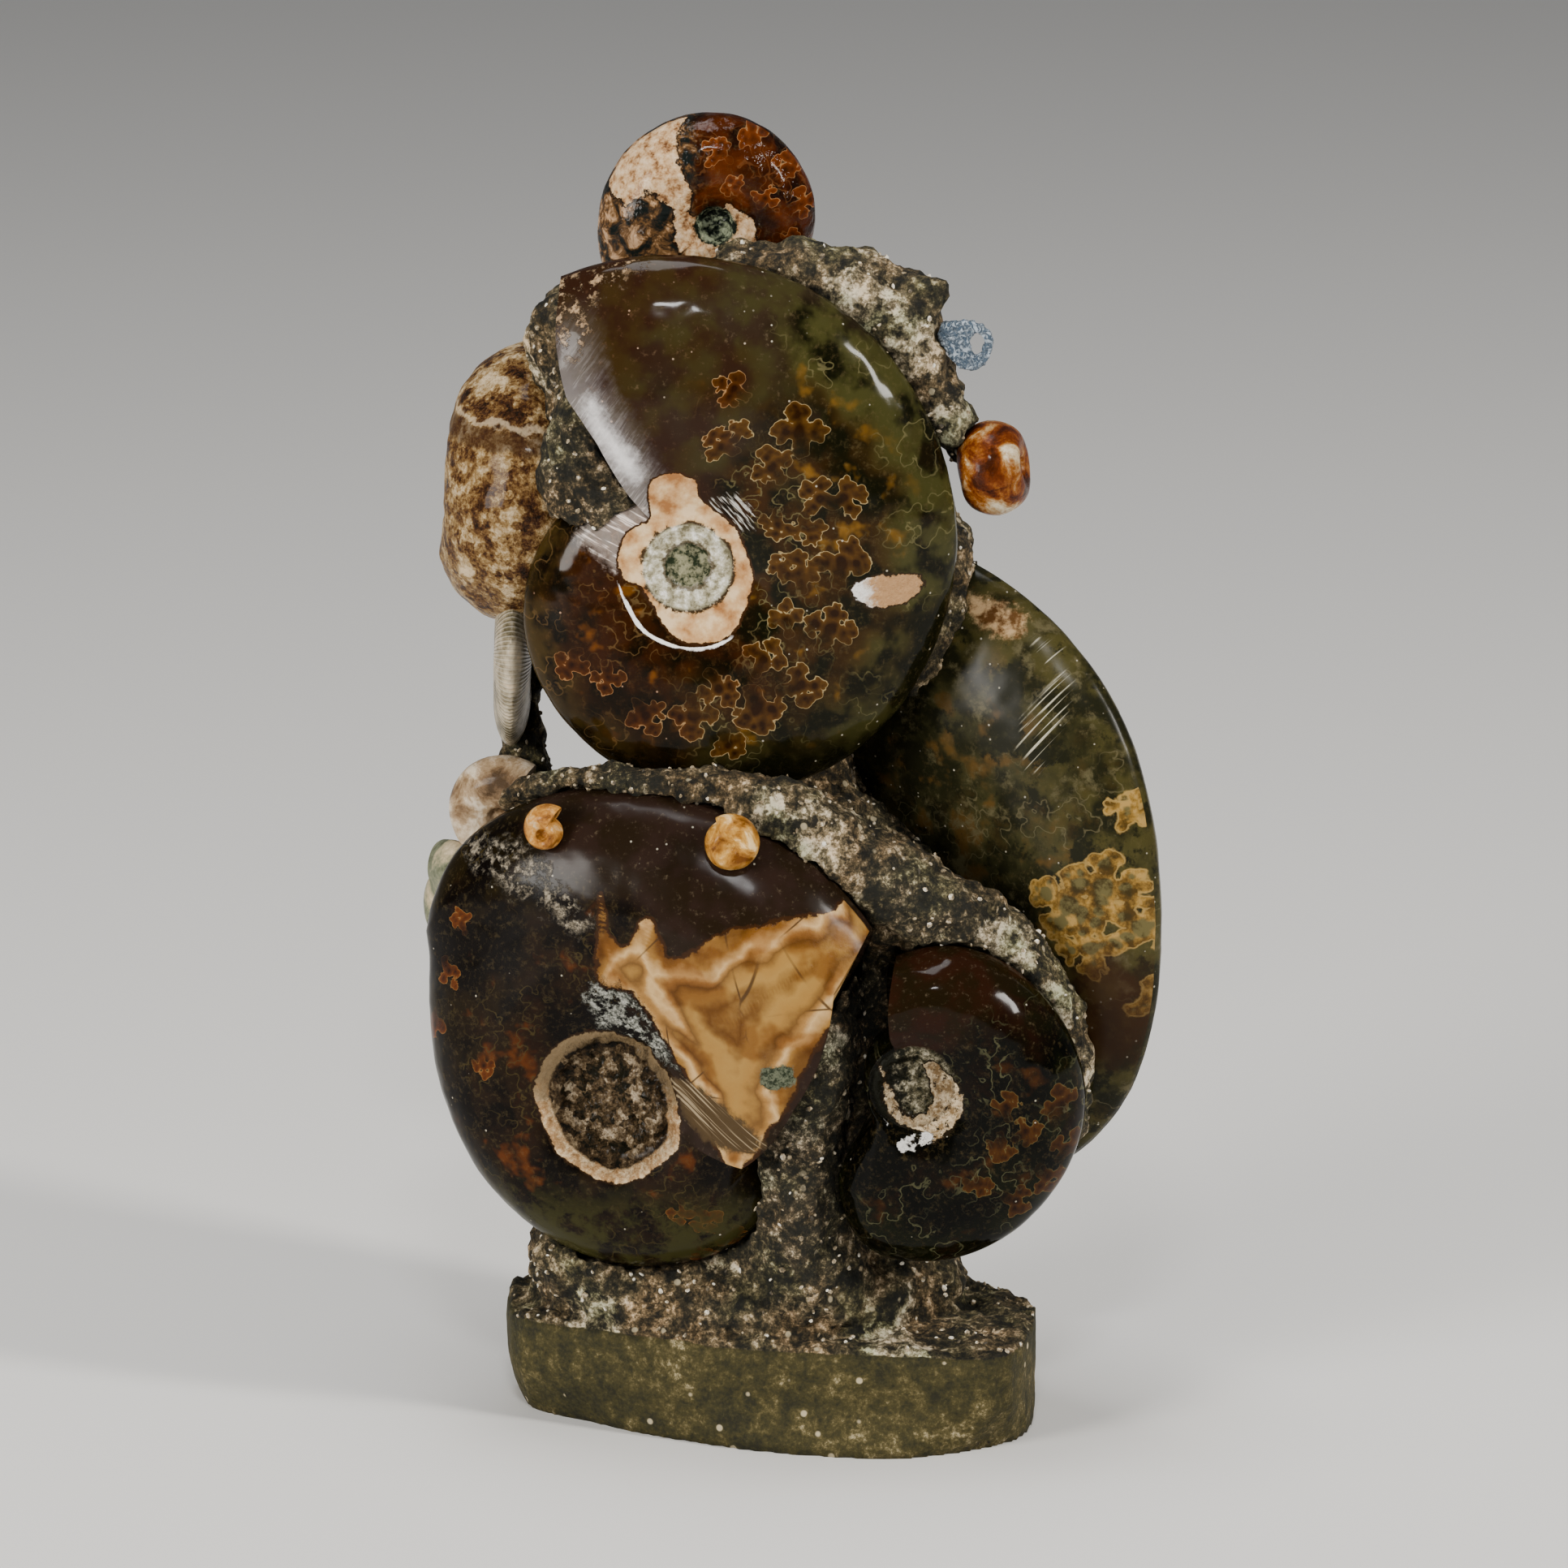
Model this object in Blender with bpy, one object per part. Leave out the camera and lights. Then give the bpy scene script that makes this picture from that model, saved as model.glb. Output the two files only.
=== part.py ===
"""A cleoniceras ammonite cluster: polished coiled shells freed from one block of grey-green rock.

The rock is one solid with its sawn base slab. Every shell is a solid of its own, set in a pocket
of the rock with a small gap round it. Lengths in the tables are millimetres, angles are degrees,
+Z is up and the side that is looked at faces -Y. The origin is under the middle, on the base.
"""

import math
from dataclasses import dataclass

import bmesh
import bpy
import numpy as np
from mathutils import Matrix, Vector

MM = 0.001

# driving sizes
BASE_HEIGHT = 20.0
GAP = 0.35
ROCK_VOXEL = 3.6
ROCK_KEEP = 0.2
ROCK_ROUGHNESS = 1.3
ROCK_GRAIN = 9.0
# the rim of a hub: its reach as a share of the hub, and its height as a share of the inner whorl
RIM = 1.12
RIM_LEVEL = 0.9
# how flat a flank is before it turns down to the keel, and how blunt the keel is
FLANK_FLATNESS = 2.6
KEEL_EDGE = 0.6


@dataclass
class Shell:
    """One coiled shell. Radii run back from the mouth over one whorl, in equal steps."""

    name: str
    centre: tuple
    radii: tuple
    half_thickness: float
    taper: float = 0.6
    mouth_angle: float = 0.0
    turns: int = -1
    yaw: float = 0.0
    lean: float = 0.0
    tilt: float = 0.0
    hub: float = 9.0
    hub_depth: float = 1.8
    mouth_line: tuple = ((0.0, 0.0), (1.0, 0.0))
    columns: int = 28
    flank_rows: int = 4
    colour: tuple = (0.10, 0.075, 0.03)
    cut_by: tuple = ()


SHELLS = (
    Shell(
        name="ammonite_upper_front",
        centre=(-18.5, -8.0, 165.0),
        radii=(58.0, 55.8, 51.4, 48.8, 47.8, 43.0, 35.4, 27.0, 20.2),
        half_thickness=15.0,
        taper=0.5,
        mouth_angle=113.0,
        mouth_line=((0.0, 14), (0.3, 14), (0.5, 11), (0.67, 11), (0.84, 6), (1.0, 0)),
        hub=9.5,
        hub_depth=2.2,
        columns=28,
        flank_rows=3,
        colour=(0.09, 0.075, 0.03),
    ),
    Shell(
        name="ammonite_lower_left",
        centre=(-29.0, -16.0, 68.3),
        radii=(56.5, 56.2, 54.6, 43.6, 37.8, 36.4, 37.4, 36.0, 27.6),
        half_thickness=18.5,
        taper=0.62,
        mouth_angle=36.0,
        turns=1,
        mouth_line=((0.0, -66), (0.3, -66), (0.48, -60), (0.61, -34), (0.83, -7), (1.0, 0)),
        yaw=-15.0,
        hub=12.0,
        hub_depth=3.6,
        columns=28,
        flank_rows=3,
        colour=(0.085, 0.05, 0.025),
    ),
    Shell(
        name="ammonite_lower_right",
        centre=(22.5, -25.0, 71.6),
        radii=(
            23.8, 26.4, 28.0, 29.4, 31.4, 33.4, 34.9, 36.4, 37.0,
            34.5, 23.0, 12.0, 10.0, 9.7, 9.6, 9.6, 9.6,
        ),
        half_thickness=12.5,
        taper=0.62,
        mouth_angle=97.0,
        mouth_line=((0.0, 20), (0.4, 18), (1.0, 0)),
        hub=7.2,
        hub_depth=2.2,
        columns=24,
        flank_rows=3,
        colour=(0.05, 0.045, 0.03),
    ),
    Shell(
        name="ammonite_right",
        centre=(20.0, 18.0, 95.0),
        radii=(69.5, 69.0, 65.4, 58.8, 61.6, 58.8, 50.0, 42.0, 33.0),
        half_thickness=15.5,
        taper=0.55,
        mouth_angle=140.0,
        yaw=-34.0,
        hub=13.0,
        columns=24,
        flank_rows=3,
        colour=(0.075, 0.07, 0.035),
    ),
    Shell(
        name="ammonite_top",
        centre=(-13.5, 12.0, 223.6),
        radii=(23.4, 22.0, 21.2, 20.6, 19.4, 18.6, 16.4, 14.2, 12.6),
        half_thickness=10.0,
        taper=0.7,
        mouth_angle=215.0,
        hub=4.4,
        hub_depth=3.0,
        columns=16,
        flank_rows=3,
        colour=(0.22, 0.08, 0.03),
    ),
    Shell(
        name="ammonite_left",
        centre=(-48.8, 19.0, 171.0),
        radii=(29.0, 29.6, 29.0, 27.0, 25.0, 24.4, 25.0, 25.4, 25.6),
        half_thickness=17.2,
        taper=0.84,
        mouth_angle=98.0,
        yaw=-90.0,
        tilt=5.0,
        hub=6.0,
        columns=16,
        flank_rows=3,
        colour=(0.25, 0.16, 0.07),
        cut_by=("ammonite_upper_front",),
    ),
    Shell(
        name="ammonite_left_narrow",
        centre=(-51.3, 14.5, 141.0),
        radii=(20.0, 20.0, 19.4, 18.8, 18.2, 17.6, 17.2, 17.4, 17.6),
        half_thickness=3.9,
        taper=0.9,
        mouth_angle=120.0,
        yaw=-90.0,
        tilt=2.0,
        hub=4.0,
        hub_depth=1.4,
        columns=14,
        flank_rows=2,
        colour=(0.20, 0.18, 0.10),
        cut_by=("ammonite_left",),
    ),
    Shell(
        name="ammonite_left_shoulder",
        centre=(-53.0, 11.0, 110.8),
        radii=(12.4, 12.2, 12.0, 11.6, 11.2, 10.6, 9.8, 9.0, 8.4),
        half_thickness=5.4,
        taper=0.8,
        mouth_angle=60.0,
        turns=1,
        yaw=-18.0,
        hub=2.6,
        hub_depth=1.4,
        columns=12,
        flank_rows=2,
        colour=(0.40, 0.24, 0.14),
        cut_by=("ammonite_lower_left", "ammonite_left_narrow"),
    ),
    Shell(
        name="ammonite_left_low",
        centre=(-62.2, 13.0, 92.6),
        radii=(13.4, 13.2, 12.8, 12.2, 11.4, 10.4, 9.6, 9.0, 8.6),
        half_thickness=5.6,
        taper=0.8,
        mouth_angle=110.0,
        yaw=-58.0,
        tilt=-4.0,
        hub=2.6,
        hub_depth=1.4,
        columns=12,
        flank_rows=2,
        colour=(0.34, 0.30, 0.18),
        cut_by=("ammonite_lower_left", "ammonite_left_shoulder"),
    ),
    Shell(
        name="ammonite_far_right",
        centre=(37.2, -2.0, 180.2),
        radii=(9.8, 9.8, 9.8, 9.7, 9.6, 9.4, 9.2, 9.0, 8.8),
        half_thickness=6.8,
        taper=0.9,
        mouth_angle=190.0,
        yaw=80.0,
        tilt=-10.0,
        hub=2.2,
        hub_depth=1.2,
        columns=12,
        flank_rows=2,
        colour=(0.42, 0.14, 0.03),
    ),
    Shell(
        name="juvenile_round",
        centre=(-10.7, -30.5, 117.6),
        radii=(6.2, 6.1, 6.0, 5.9, 5.8, 5.7, 5.6, 5.5, 5.4),
        half_thickness=4.4,
        taper=0.9,
        mouth_angle=120.0,
        hub=1.2,
        hub_depth=0.6,
        columns=10,
        flank_rows=2,
        colour=(0.65, 0.36, 0.12),
        cut_by=("ammonite_lower_left",),
    ),
    Shell(
        name="juvenile_broken",
        centre=(-44.4, -22.5, 117.4),
        radii=(6.2, 5.8, 5.2, 4.6, 4.2, 4.0, 3.8, 3.6, 3.4),
        half_thickness=3.4,
        taper=0.8,
        mouth_angle=60.0,
        turns=1,
        yaw=-18.0,
        hub=1.2,
        hub_depth=0.6,
        columns=10,
        flank_rows=2,
        colour=(0.60, 0.30, 0.08),
        cut_by=("ammonite_lower_left",),
    ),
)

# rounded masses of the rock: centre and half sizes
LUMPS = (
    ((-7, -2, 23), (42, 25, 13)),
    ((-34, -4, 32), (16, 16, 9)),
    ((-2, 0, 38), (34, 20, 20)),
    ((-6, 6, 76), (44, 24, 46)),
    ((-9, 12, 118), (21, 16, 34)),
    ((-14, 12, 162), (26, 16, 40)),
    ((-10, 11, 197), (22, 15, 22)),
    ((-37, 8, 178), (14, 13, 26)),
    ((-33, -7, 180), (13, 9.5, 20)),
    ((-39, 3, 204), (9, 9, 11)),
    ((24, 10, 152), (12, 13, 22)),
    ((28, -2, 214), (3, 3, 3)),
)

# bands of rock that run between the shells: points along each, and the radius there
BANDS = (
    (((-8, 4, 213), 9.5), ((4, 3, 214), 9.5), ((12, 2, 211.5), 9), ((18, 1, 207.5), 8), ((22, 0, 201), 7)),
    (((18, 1, 209), 7), ((25, -1, 212.5), 4.5)),
    (((22, 0, 201), 7), ((25, -1, 196), 6.5), ((29, -1, 189), 6), ((35, -2, 182), 5.5)),
    (((-50, -6, 119), 5), ((-34, -13, 124), 5), ((-14, -17, 122), 7), ((2, -19, 117), 9)),
    (((2, -18, 114), 10), ((18, -18, 105), 9.5), ((33, -17, 97), 9), ((45, -16, 86), 7.5)),
    (((45, -16, 86), 7.5), ((51, -14, 73), 7), ((50, -12, 62), 7), ((42, -8, 50), 8)),
    (((2, -18, 92), 11), ((4, -23, 72), 9), ((0, -22, 54), 9), ((0, -20, 40), 10), ((4, -20, 30), 9)),
    (((-44, 19, 158), 6), ((-50, 20, 146), 5), ((-50, 19, 128), 5), ((-49, 16, 112), 6), ((-42, 10, 98), 8)),
)

# the deep hollow left of the lower right shell: centre and half sizes
HOLLOW = ((15.0, -26.0, 82.0), (2.6, 12.0, 7.0))

SLAB_TOP = (
    (-52, 8), (-53, -2), (-50.5, -11), (-42, -16.5), (-29, -22), (-15.7, -27), (2, -30), (18, -32),
    (37, -33.5), (43, -26), (46, -12), (45.2, -3), (38, 6), (24, 16), (-10, 22), (-38, 18),
)
SLAB_FOOT = (
    (-51, 8), (-51, 0), (-48.5, -8.6), (-38, -15), (-29.4, -20.8), (-9.2, -30), (8.4, -34.2), (23.2, -34.6),
    (38.1, -28.4), (44.5, -22), (46, -12), (45, -3), (37, 6), (24, 15), (-10, 21), (-38, 17),
)
SLAB_EDGE = 1.2

# a small pierced flake that stands out from the ridge: its outer edge and its hole, as x and z
FLAKE_EDGE = (
    (27.6, 207.6), (30.4, 208.0), (33.0, 207.8), (35.2, 207.2), (36.8, 205.2), (36.8, 202.4),
    (35.4, 199.8), (33.0, 198.6), (30.6, 199.4), (29.0, 201.4), (27.6, 203.4), (26.8, 205.4),
)
FLAKE_HOLE = (
    (32.9, 205.0), (33.4, 205.6), (34.0, 205.8), (34.7, 205.4), (35.2, 204.6), (35.2, 203.4),
    (34.9, 202.2), (34.2, 201.4), (33.5, 201.6), (33.0, 202.4), (32.7, 203.4), (32.7, 204.3),
)
FLAKE_FRONT = -2.6
FLAKE_THICKNESS = 1.6


def clear_scene():
    for old in list(bpy.data.objects):
        bpy.data.objects.remove(old)


def surface(name, colour, roughness, metallic=0.0):
    material = bpy.data.materials.new(name)
    material.use_nodes = True
    shader = material.node_tree.nodes["Principled BSDF"]
    shader.inputs["Base Color"].default_value = (*colour, 1.0)
    shader.inputs["Roughness"].default_value = roughness
    shader.inputs["Metallic"].default_value = metallic
    return material


def add_object(name, mesh, material=None):
    thing = bpy.data.objects.new(name, mesh)
    bpy.context.scene.collection.objects.link(thing)
    if material:
        mesh.materials.append(material)
    return thing


def guide(thing):
    thing.hide_render = True
    thing.display_type = "WIRE"
    return thing


def smooth_value(values, place):
    """Catmull-Rom through evenly spaced values; place runs from 0 to 1."""
    last = len(values) - 1
    at = min(max(place, 0.0), 1.0) * last
    i = min(int(at), last - 1)
    f = at - i
    p0 = values[max(i - 1, 0)]
    p1, p2 = values[i], values[i + 1]
    p3 = values[min(i + 2, last)]
    return 0.5 * (
        2 * p1 + (p2 - p0) * f + (2 * p0 - 5 * p1 + 4 * p2 - p3) * f * f + (3 * p1 - p0 - 3 * p2 + p3) * f**3
    )


def shell_frame(shell):
    """Turns the shell's own frame (X right, Y up, Z out of its front face) into the cluster's frame."""
    facing = Matrix(((1, 0, 0), (0, 0, -1), (0, 1, 0)))
    turned = (
        Matrix.Rotation(math.radians(shell.tilt), 3, "Y")
        @ Matrix.Rotation(math.radians(shell.yaw), 3, "Z")
        @ Matrix.Rotation(math.radians(-shell.lean), 3, "X")
        @ facing
    )
    return Matrix.Translation(Vector(shell.centre) * MM) @ turned.to_4x4()


def shell_mesh(shell, grow=0.0, open_hub=True):
    """A closed coil: two flanks that meet on the outer keel, a mouth wall and a sunken hub on each side."""
    columns, rows = shell.columns, shell.flank_rows
    mesh = bmesh.new()
    rim = shell.hub * RIM
    level = shell.half_thickness * shell.taper * RIM_LEVEL + grow

    def place(turn, reach, height):
        """A point from its turn back from the mouth (0 to 1), its distance out and its height."""
        out = max(reach, 0.001)
        shares, bends = zip(*shell.mouth_line)
        share = out / shell.radii[0]
        bend = np.interp(share, shares, bends)
        angle = math.radians(shell.mouth_angle + bend + shell.turns * 360 * turn)
        slope = math.radians(np.interp(share + 0.05, shares, bends) - np.interp(share - 0.05, shares, bends)) / 0.1
        angle -= shell.turns * grow / out * math.hypot(1, share * slope)
        return mesh.verts.new(Vector((out * math.cos(angle), out * math.sin(angle), height)) * MM)

    def flank(turn, row):
        """Distance out and height of a flank point, from the rim of the hub to the keel."""
        lift = math.radians(90 * row / (rows + 1))
        radius = smooth_value(shell.radii, turn) + grow
        thick = shell.half_thickness * shell.taper**turn + grow
        across = math.sin(lift)
        dip = (1 - level / thick) * (1 - across) ** 3
        return rim + (radius - rim) * across, thick * (1 - across**FLANK_FLATNESS) ** KEEL_EDGE * (1 - dip)

    def ring(reach, height):
        return [place(i / columns, reach, height) for i in range(columns)]

    keel = [place(i / columns, smooth_value(shell.radii, i / columns) + grow, 0.0) for i in range(columns + 1)]
    for side in (1, -1):
        rings = [ring(rim, level * side)]
        bottom = level
        if open_hub:
            bottom = level - shell.hub_depth
            rings += [ring(shell.hub * 0.9, level * side), ring(shell.hub * 0.6, bottom * side)]
        middle = place(0.0, 0.0, bottom * side)
        for outer, inner in zip(rings, rings[1:]):
            for i in range(columns):
                j = (i + 1) % columns
                mesh.faces.new((inner[i], inner[j], outer[j], outer[i]))
        for i in range(columns):
            mesh.faces.new((middle, rings[-1][(i + 1) % columns], rings[-1][i]))

        grid = []
        for i in range(columns + 1):
            line = [rings[0][i % columns]]
            for row in range(1, rows + 1):
                reach, height = flank(i / columns, row)
                line.append(place(i / columns, reach, height * side))
            grid.append(line + [keel[i]])
        for here, there in zip(grid, grid[1:]):
            for r in range(rows + 1):
                mesh.faces.new((here[r], there[r], there[r + 1], here[r + 1]))
        mouth, tail = grid[0], grid[-1]
        mesh.faces.new((mouth[0], mouth[1], tail[1]))
        for r in range(1, rows + 1):
            mesh.faces.new((mouth[r], mouth[r + 1], tail[r + 1], tail[r]))
    bmesh.ops.recalc_face_normals(mesh, faces=mesh.faces)
    bmesh.ops.triangulate(mesh, faces=mesh.faces)
    made = bpy.data.meshes.new(shell.name)
    mesh.to_mesh(made)
    mesh.free()
    made.transform(shell_frame(shell))
    return made


def make_shells():
    made, cutters = {}, {}
    for shell in SHELLS:
        finish = surface(shell.name + "_finish", shell.colour, 0.15)
        thing = add_object(shell.name, shell_mesh(shell), finish)
        thing.data.shade_smooth()
        thing.data.set_sharp_from_angle(angle=math.radians(50))
        cutter = add_object(shell.name + "_pocket", shell_mesh(shell, grow=GAP, open_hub=False))
        made[shell.name], cutters[shell.name] = thing, guide(cutter)
    for shell in SHELLS:
        for other in shell.cut_by:
            cut(made[shell.name], cutters[other])
    return made, cutters


def cut(thing, cutter, operation="DIFFERENCE"):
    step = thing.modifiers.new(cutter.name, "BOOLEAN")
    step.operation = operation
    step.solver = "EXACT"
    step.object = cutter


def ball_into(mesh, centre, half_sizes, detail=3):
    shape = Matrix.Translation(Vector(centre) * MM) @ Matrix.Diagonal((*(Vector(half_sizes) * MM), 1.0))
    bmesh.ops.create_icosphere(mesh, subdivisions=detail, radius=1.0, matrix=shape)


def band_into(mesh, stops, step=4.0):
    """Balls strung closely along a run of stops, which the remesh below joins into one band."""
    for (start, r0), (end, r1) in zip(stops, stops[1:]):
        a, b = Vector(start), Vector(end)
        count = max(1, round((b - a).length / step))
        for i in range(count + 1):
            f = i / count
            radius = r0 + (r1 - r0) * f
            ball_into(mesh, a.lerp(b, f), (radius,) * 3, detail=2)


def slab_mesh():
    """The sawn base: two outlines joined by sides that lean, with small worn edges."""
    def ring(outline, inset, height):
        middle = Vector((sum(p[0] for p in outline), sum(p[1] for p in outline))) / len(outline)
        points = []
        for i in range(2 * len(outline)):
            x = smooth_value([outline[(i // 2 + k) % len(outline)][0] for k in (-1, 0, 1, 2)], (1 + (i % 2) / 2) / 3)
            y = smooth_value([outline[(i // 2 + k) % len(outline)][1] for k in (-1, 0, 1, 2)], (1 + (i % 2) / 2) / 3)
            out = Vector((x, y)) - middle
            points.append(middle + out * (1 - inset / out.length))
        return [mesh.verts.new(Vector((*p, height)) * MM) for p in points]

    mesh = bmesh.new()
    rings = [
        ring(SLAB_FOOT, SLAB_EDGE, 0.0),
        ring(SLAB_FOOT, 0.0, SLAB_EDGE),
        ring(SLAB_TOP, 0.0, BASE_HEIGHT * 0.45),
        ring(SLAB_TOP, 0.0, BASE_HEIGHT - SLAB_EDGE),
        ring(SLAB_TOP, SLAB_EDGE, BASE_HEIGHT),
    ]
    for low, high in zip(rings, rings[1:]):
        for i in range(len(low)):
            j = (i + 1) % len(low)
            mesh.faces.new((low[i], low[j], high[j], high[i]))
    mesh.faces.new(reversed(rings[0]))
    mesh.faces.new(rings[-1])
    bmesh.ops.recalc_face_normals(mesh, faces=mesh.faces)
    made = bpy.data.meshes.new("slab")
    mesh.to_mesh(made)
    mesh.free()
    return made


def make_rock(cutters):
    mesh = bmesh.new()
    for centre, half_sizes in LUMPS:
        ball_into(mesh, centre, half_sizes)
    for stops in BANDS:
        band_into(mesh, stops)
    made = bpy.data.meshes.new("matrix")
    mesh.to_mesh(made)
    mesh.free()
    rock = add_object("matrix", made, surface("rock_finish", (0.16, 0.14, 0.09), 0.75))
    join = rock.modifiers.new("join lumps", "REMESH")
    join.mode = "VOXEL"
    join.voxel_size = ROCK_VOXEL * MM
    soften = rock.modifiers.new("soften", "SMOOTH")
    soften.iterations = 4
    thin = rock.modifiers.new("fewer faces", "DECIMATE")
    thin.ratio = ROCK_KEEP
    clouds = bpy.data.textures.new("rock grain", "CLOUDS")
    clouds.noise_scale = ROCK_GRAIN * MM
    rough = rock.modifiers.new("rough", "DISPLACE")
    rough.texture = clouds
    rough.texture_coords = "LOCAL"
    rough.strength = 2 * ROCK_ROUGHNESS * MM
    cut(rock, guide(add_object("base slab", slab_mesh())), "UNION")
    for cutter in cutters.values():
        cut(rock, cutter)
    mesh = bmesh.new()
    ball_into(mesh, *HOLLOW, detail=2)
    hollow = bpy.data.meshes.new("hollow")
    mesh.to_mesh(hollow)
    mesh.free()
    cut(rock, guide(add_object("hollow", hollow)))
    return rock


def flake_mesh(grow=0.0):
    """A flat plate with one hole."""
    mesh = bmesh.new()
    middle = Vector((sum(p[0] for p in FLAKE_EDGE), sum(p[1] for p in FLAKE_EDGE))) / len(FLAKE_EDGE)
    centre = Vector((sum(p[0] for p in FLAKE_HOLE), sum(p[1] for p in FLAKE_HOLE))) / len(FLAKE_HOLE)
    loops = []
    for y in (FLAKE_FRONT - grow, FLAKE_FRONT + FLAKE_THICKNESS + grow):
        for outline, about, more in ((FLAKE_EDGE, middle, grow), (FLAKE_HOLE, centre, -grow)):
            line = []
            for point in outline:
                out = Vector(point) - about
                x, z = Vector(point) + out.normalized() * more
                line.append(mesh.verts.new(Vector((x, y, z)) * MM))
            loops.append(line)
    front_edge, front_hole, back_edge, back_hole = loops
    for first, second in (
        (front_edge, front_hole), (back_hole, back_edge), (back_edge, front_edge), (front_hole, back_hole),
    ):
        for i in range(len(first)):
            j = (i + 1) % len(first)
            mesh.faces.new((first[i], first[j], second[j], second[i]))
    bmesh.ops.recalc_face_normals(mesh, faces=mesh.faces)
    made = bpy.data.meshes.new("pierced_flake")
    mesh.to_mesh(made)
    mesh.free()
    return made


def make_flake(cutters):
    cutters["pierced_flake"] = guide(add_object("pierced_flake_pocket", flake_mesh(GAP)))
    return add_object("pierced_flake", flake_mesh(), surface("flake_finish", (0.45, 0.52, 0.60), 0.3))


def main():
    clear_scene()
    _, cutters = make_shells()
    make_flake(cutters)
    make_rock(cutters)


main()
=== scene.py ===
"""Looks for the cleoniceras ammonite cluster: polished coiled shells in rough rock on a sawn base.

Lengths in the tables are millimetres and angles are degrees. Every shell is rebuilt on a fine grid
from the same spiral as its solid, and the rock is rebuilt from its solid with a broken surface.
"""

import math
from dataclasses import dataclass

import bmesh
import bpy
import numpy as np
from mathutils import Matrix, Vector, noise

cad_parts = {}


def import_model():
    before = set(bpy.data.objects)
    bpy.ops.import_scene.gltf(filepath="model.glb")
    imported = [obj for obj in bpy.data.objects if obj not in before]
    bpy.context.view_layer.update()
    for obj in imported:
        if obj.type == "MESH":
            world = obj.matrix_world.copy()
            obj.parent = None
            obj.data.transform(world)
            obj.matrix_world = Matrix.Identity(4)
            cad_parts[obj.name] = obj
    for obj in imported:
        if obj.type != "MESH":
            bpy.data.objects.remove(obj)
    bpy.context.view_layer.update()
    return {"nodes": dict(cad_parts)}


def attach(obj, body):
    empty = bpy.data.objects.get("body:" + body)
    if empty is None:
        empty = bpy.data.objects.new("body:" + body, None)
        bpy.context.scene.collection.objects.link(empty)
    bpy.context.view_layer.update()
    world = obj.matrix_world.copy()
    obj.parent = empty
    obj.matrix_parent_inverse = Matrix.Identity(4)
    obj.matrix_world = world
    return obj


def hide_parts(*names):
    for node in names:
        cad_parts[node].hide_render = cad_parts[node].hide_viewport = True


MM = 0.001

# shared with the solids: the hub's rim as a share of the hub, its height as a share of the inner whorl's,
# how flat the flanks are and how blunt the keel is
RIM = 1.12
RIM_LEVEL = 0.9
FLANK_FLATNESS = 2.6
KEEL_EDGE = 0.6
# the smooth keel runs this far inside the solid's faceted one
KEEL_INSET = 0.7
MOUTH_ROLL_WIDTH = 7.0
# how far a pattern on the disc is drawn out across its thickness, so that the bulge doesn't break it
FLATTENED = 1e4
# edges sharper than this angle stay sharp in the shading
SHARP_ANGLE = 55
# what a suture or a patch says about a place far outside it
FAR_OUTSIDE = -20.0
# from one suture to the next, as a share of a whorl, and from one of its lobes to the next
SUTURE_STEP = 0.062
LOBE_SPACING = 7.5
SPECK_SIZE = 1.6
SPECK_COLOUR = (0.34, 0.31, 0.24)

# the camera, as matched to the photo
CAMERA_DISTANCE = 1400.0
CAMERA_RISE = 16.0
CAMERA_AIM = (-1.05, 0.0, 120.0)
VIEW_WIDTH = 289.8
SENSOR = 36.0
CLIP_END = 20.0

# the rock's surface
ROCK_GRID = 1.0
ROCK_SWELL = 0.42
LUMP_SIZE = 6.0
LUMP_HEIGHT = 1.15
CHIP_SIZE = 3.4
CHIP_DEPTH = 1.3
SLAB_TOP_HEIGHT = 20.0
GRAIN_DENSITY = 0.045
GRAIN_SIZE = 0.62
# chalky patches, as x, y, z and reach, and the recess left of the lower right shell, which is painted near
# black as shade
PALE_SPOTS = (
    (5, -28, 117, 7), (41, -26, 96, 7), (50, -24, 84, 5), (56, -20, 71, 5), (-4, -26, 124, 4),
    (12, -6, 213, 6), (24, -8, 204, 6), (32, -8, 190, 6), (-38, -20, 22, 6), (20, -30, 21, 6),
)
# painted shade in the crevices between the shells, as x, y, z and reach
SHADED_CREVICES = (
    (6, -32, 88, 14), (6, -32, 70, 15), (4, -30, 54, 14), (0, -28, 42, 10), (20, -30, 106, 9),
    (30, -28, 100, 8), (-30, -20, 124, 8), (-46, -22, 186, 14), (-44, -22, 172, 15), (-42, -22, 158, 13),
)
HOLLOW_CENTRE = (15.0, -26.0, 82.0)
HOLLOW_REACH = (4.5, 14.0, 9.0)

# the flake's surface
FLAKE_GRID = 0.22
FLAKE_RIPPLE = 0.35
FLAKE_RIPPLE_SIZE = 1.2

# the studio, in metres: each light's name, place, size, power and colour
DAYLIGHT = (1.0, 0.96, 0.90)
NEUTRAL = (1.0, 1.0, 1.0)
LIGHTS = (
    ("window left", (-0.85, -0.72, 0.42), (0.34, 0.44), 15.0, DAYLIGHT),
    ("window right", (0.95, -0.45, 0.72), (0.13, 0.38), 14.0, DAYLIGHT),
    ("window top", (0.0, -0.85, 0.95), (0.16, 0.06), 4.0, NEUTRAL),
    ("overhead", (-0.1, 0.1, 1.2), (0.4, 0.4), 7.0, NEUTRAL),
)
LIGHTS_AIM = (0.0, 0.0, 0.13)
FLOOR_HALF = 3.0
FLOOR_COLOUR = (0.72, 0.71, 0.69)
SKY_COLOUR = (0.9, 0.92, 0.95, 1.0)
SKY_STRENGTH = 0.18


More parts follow.
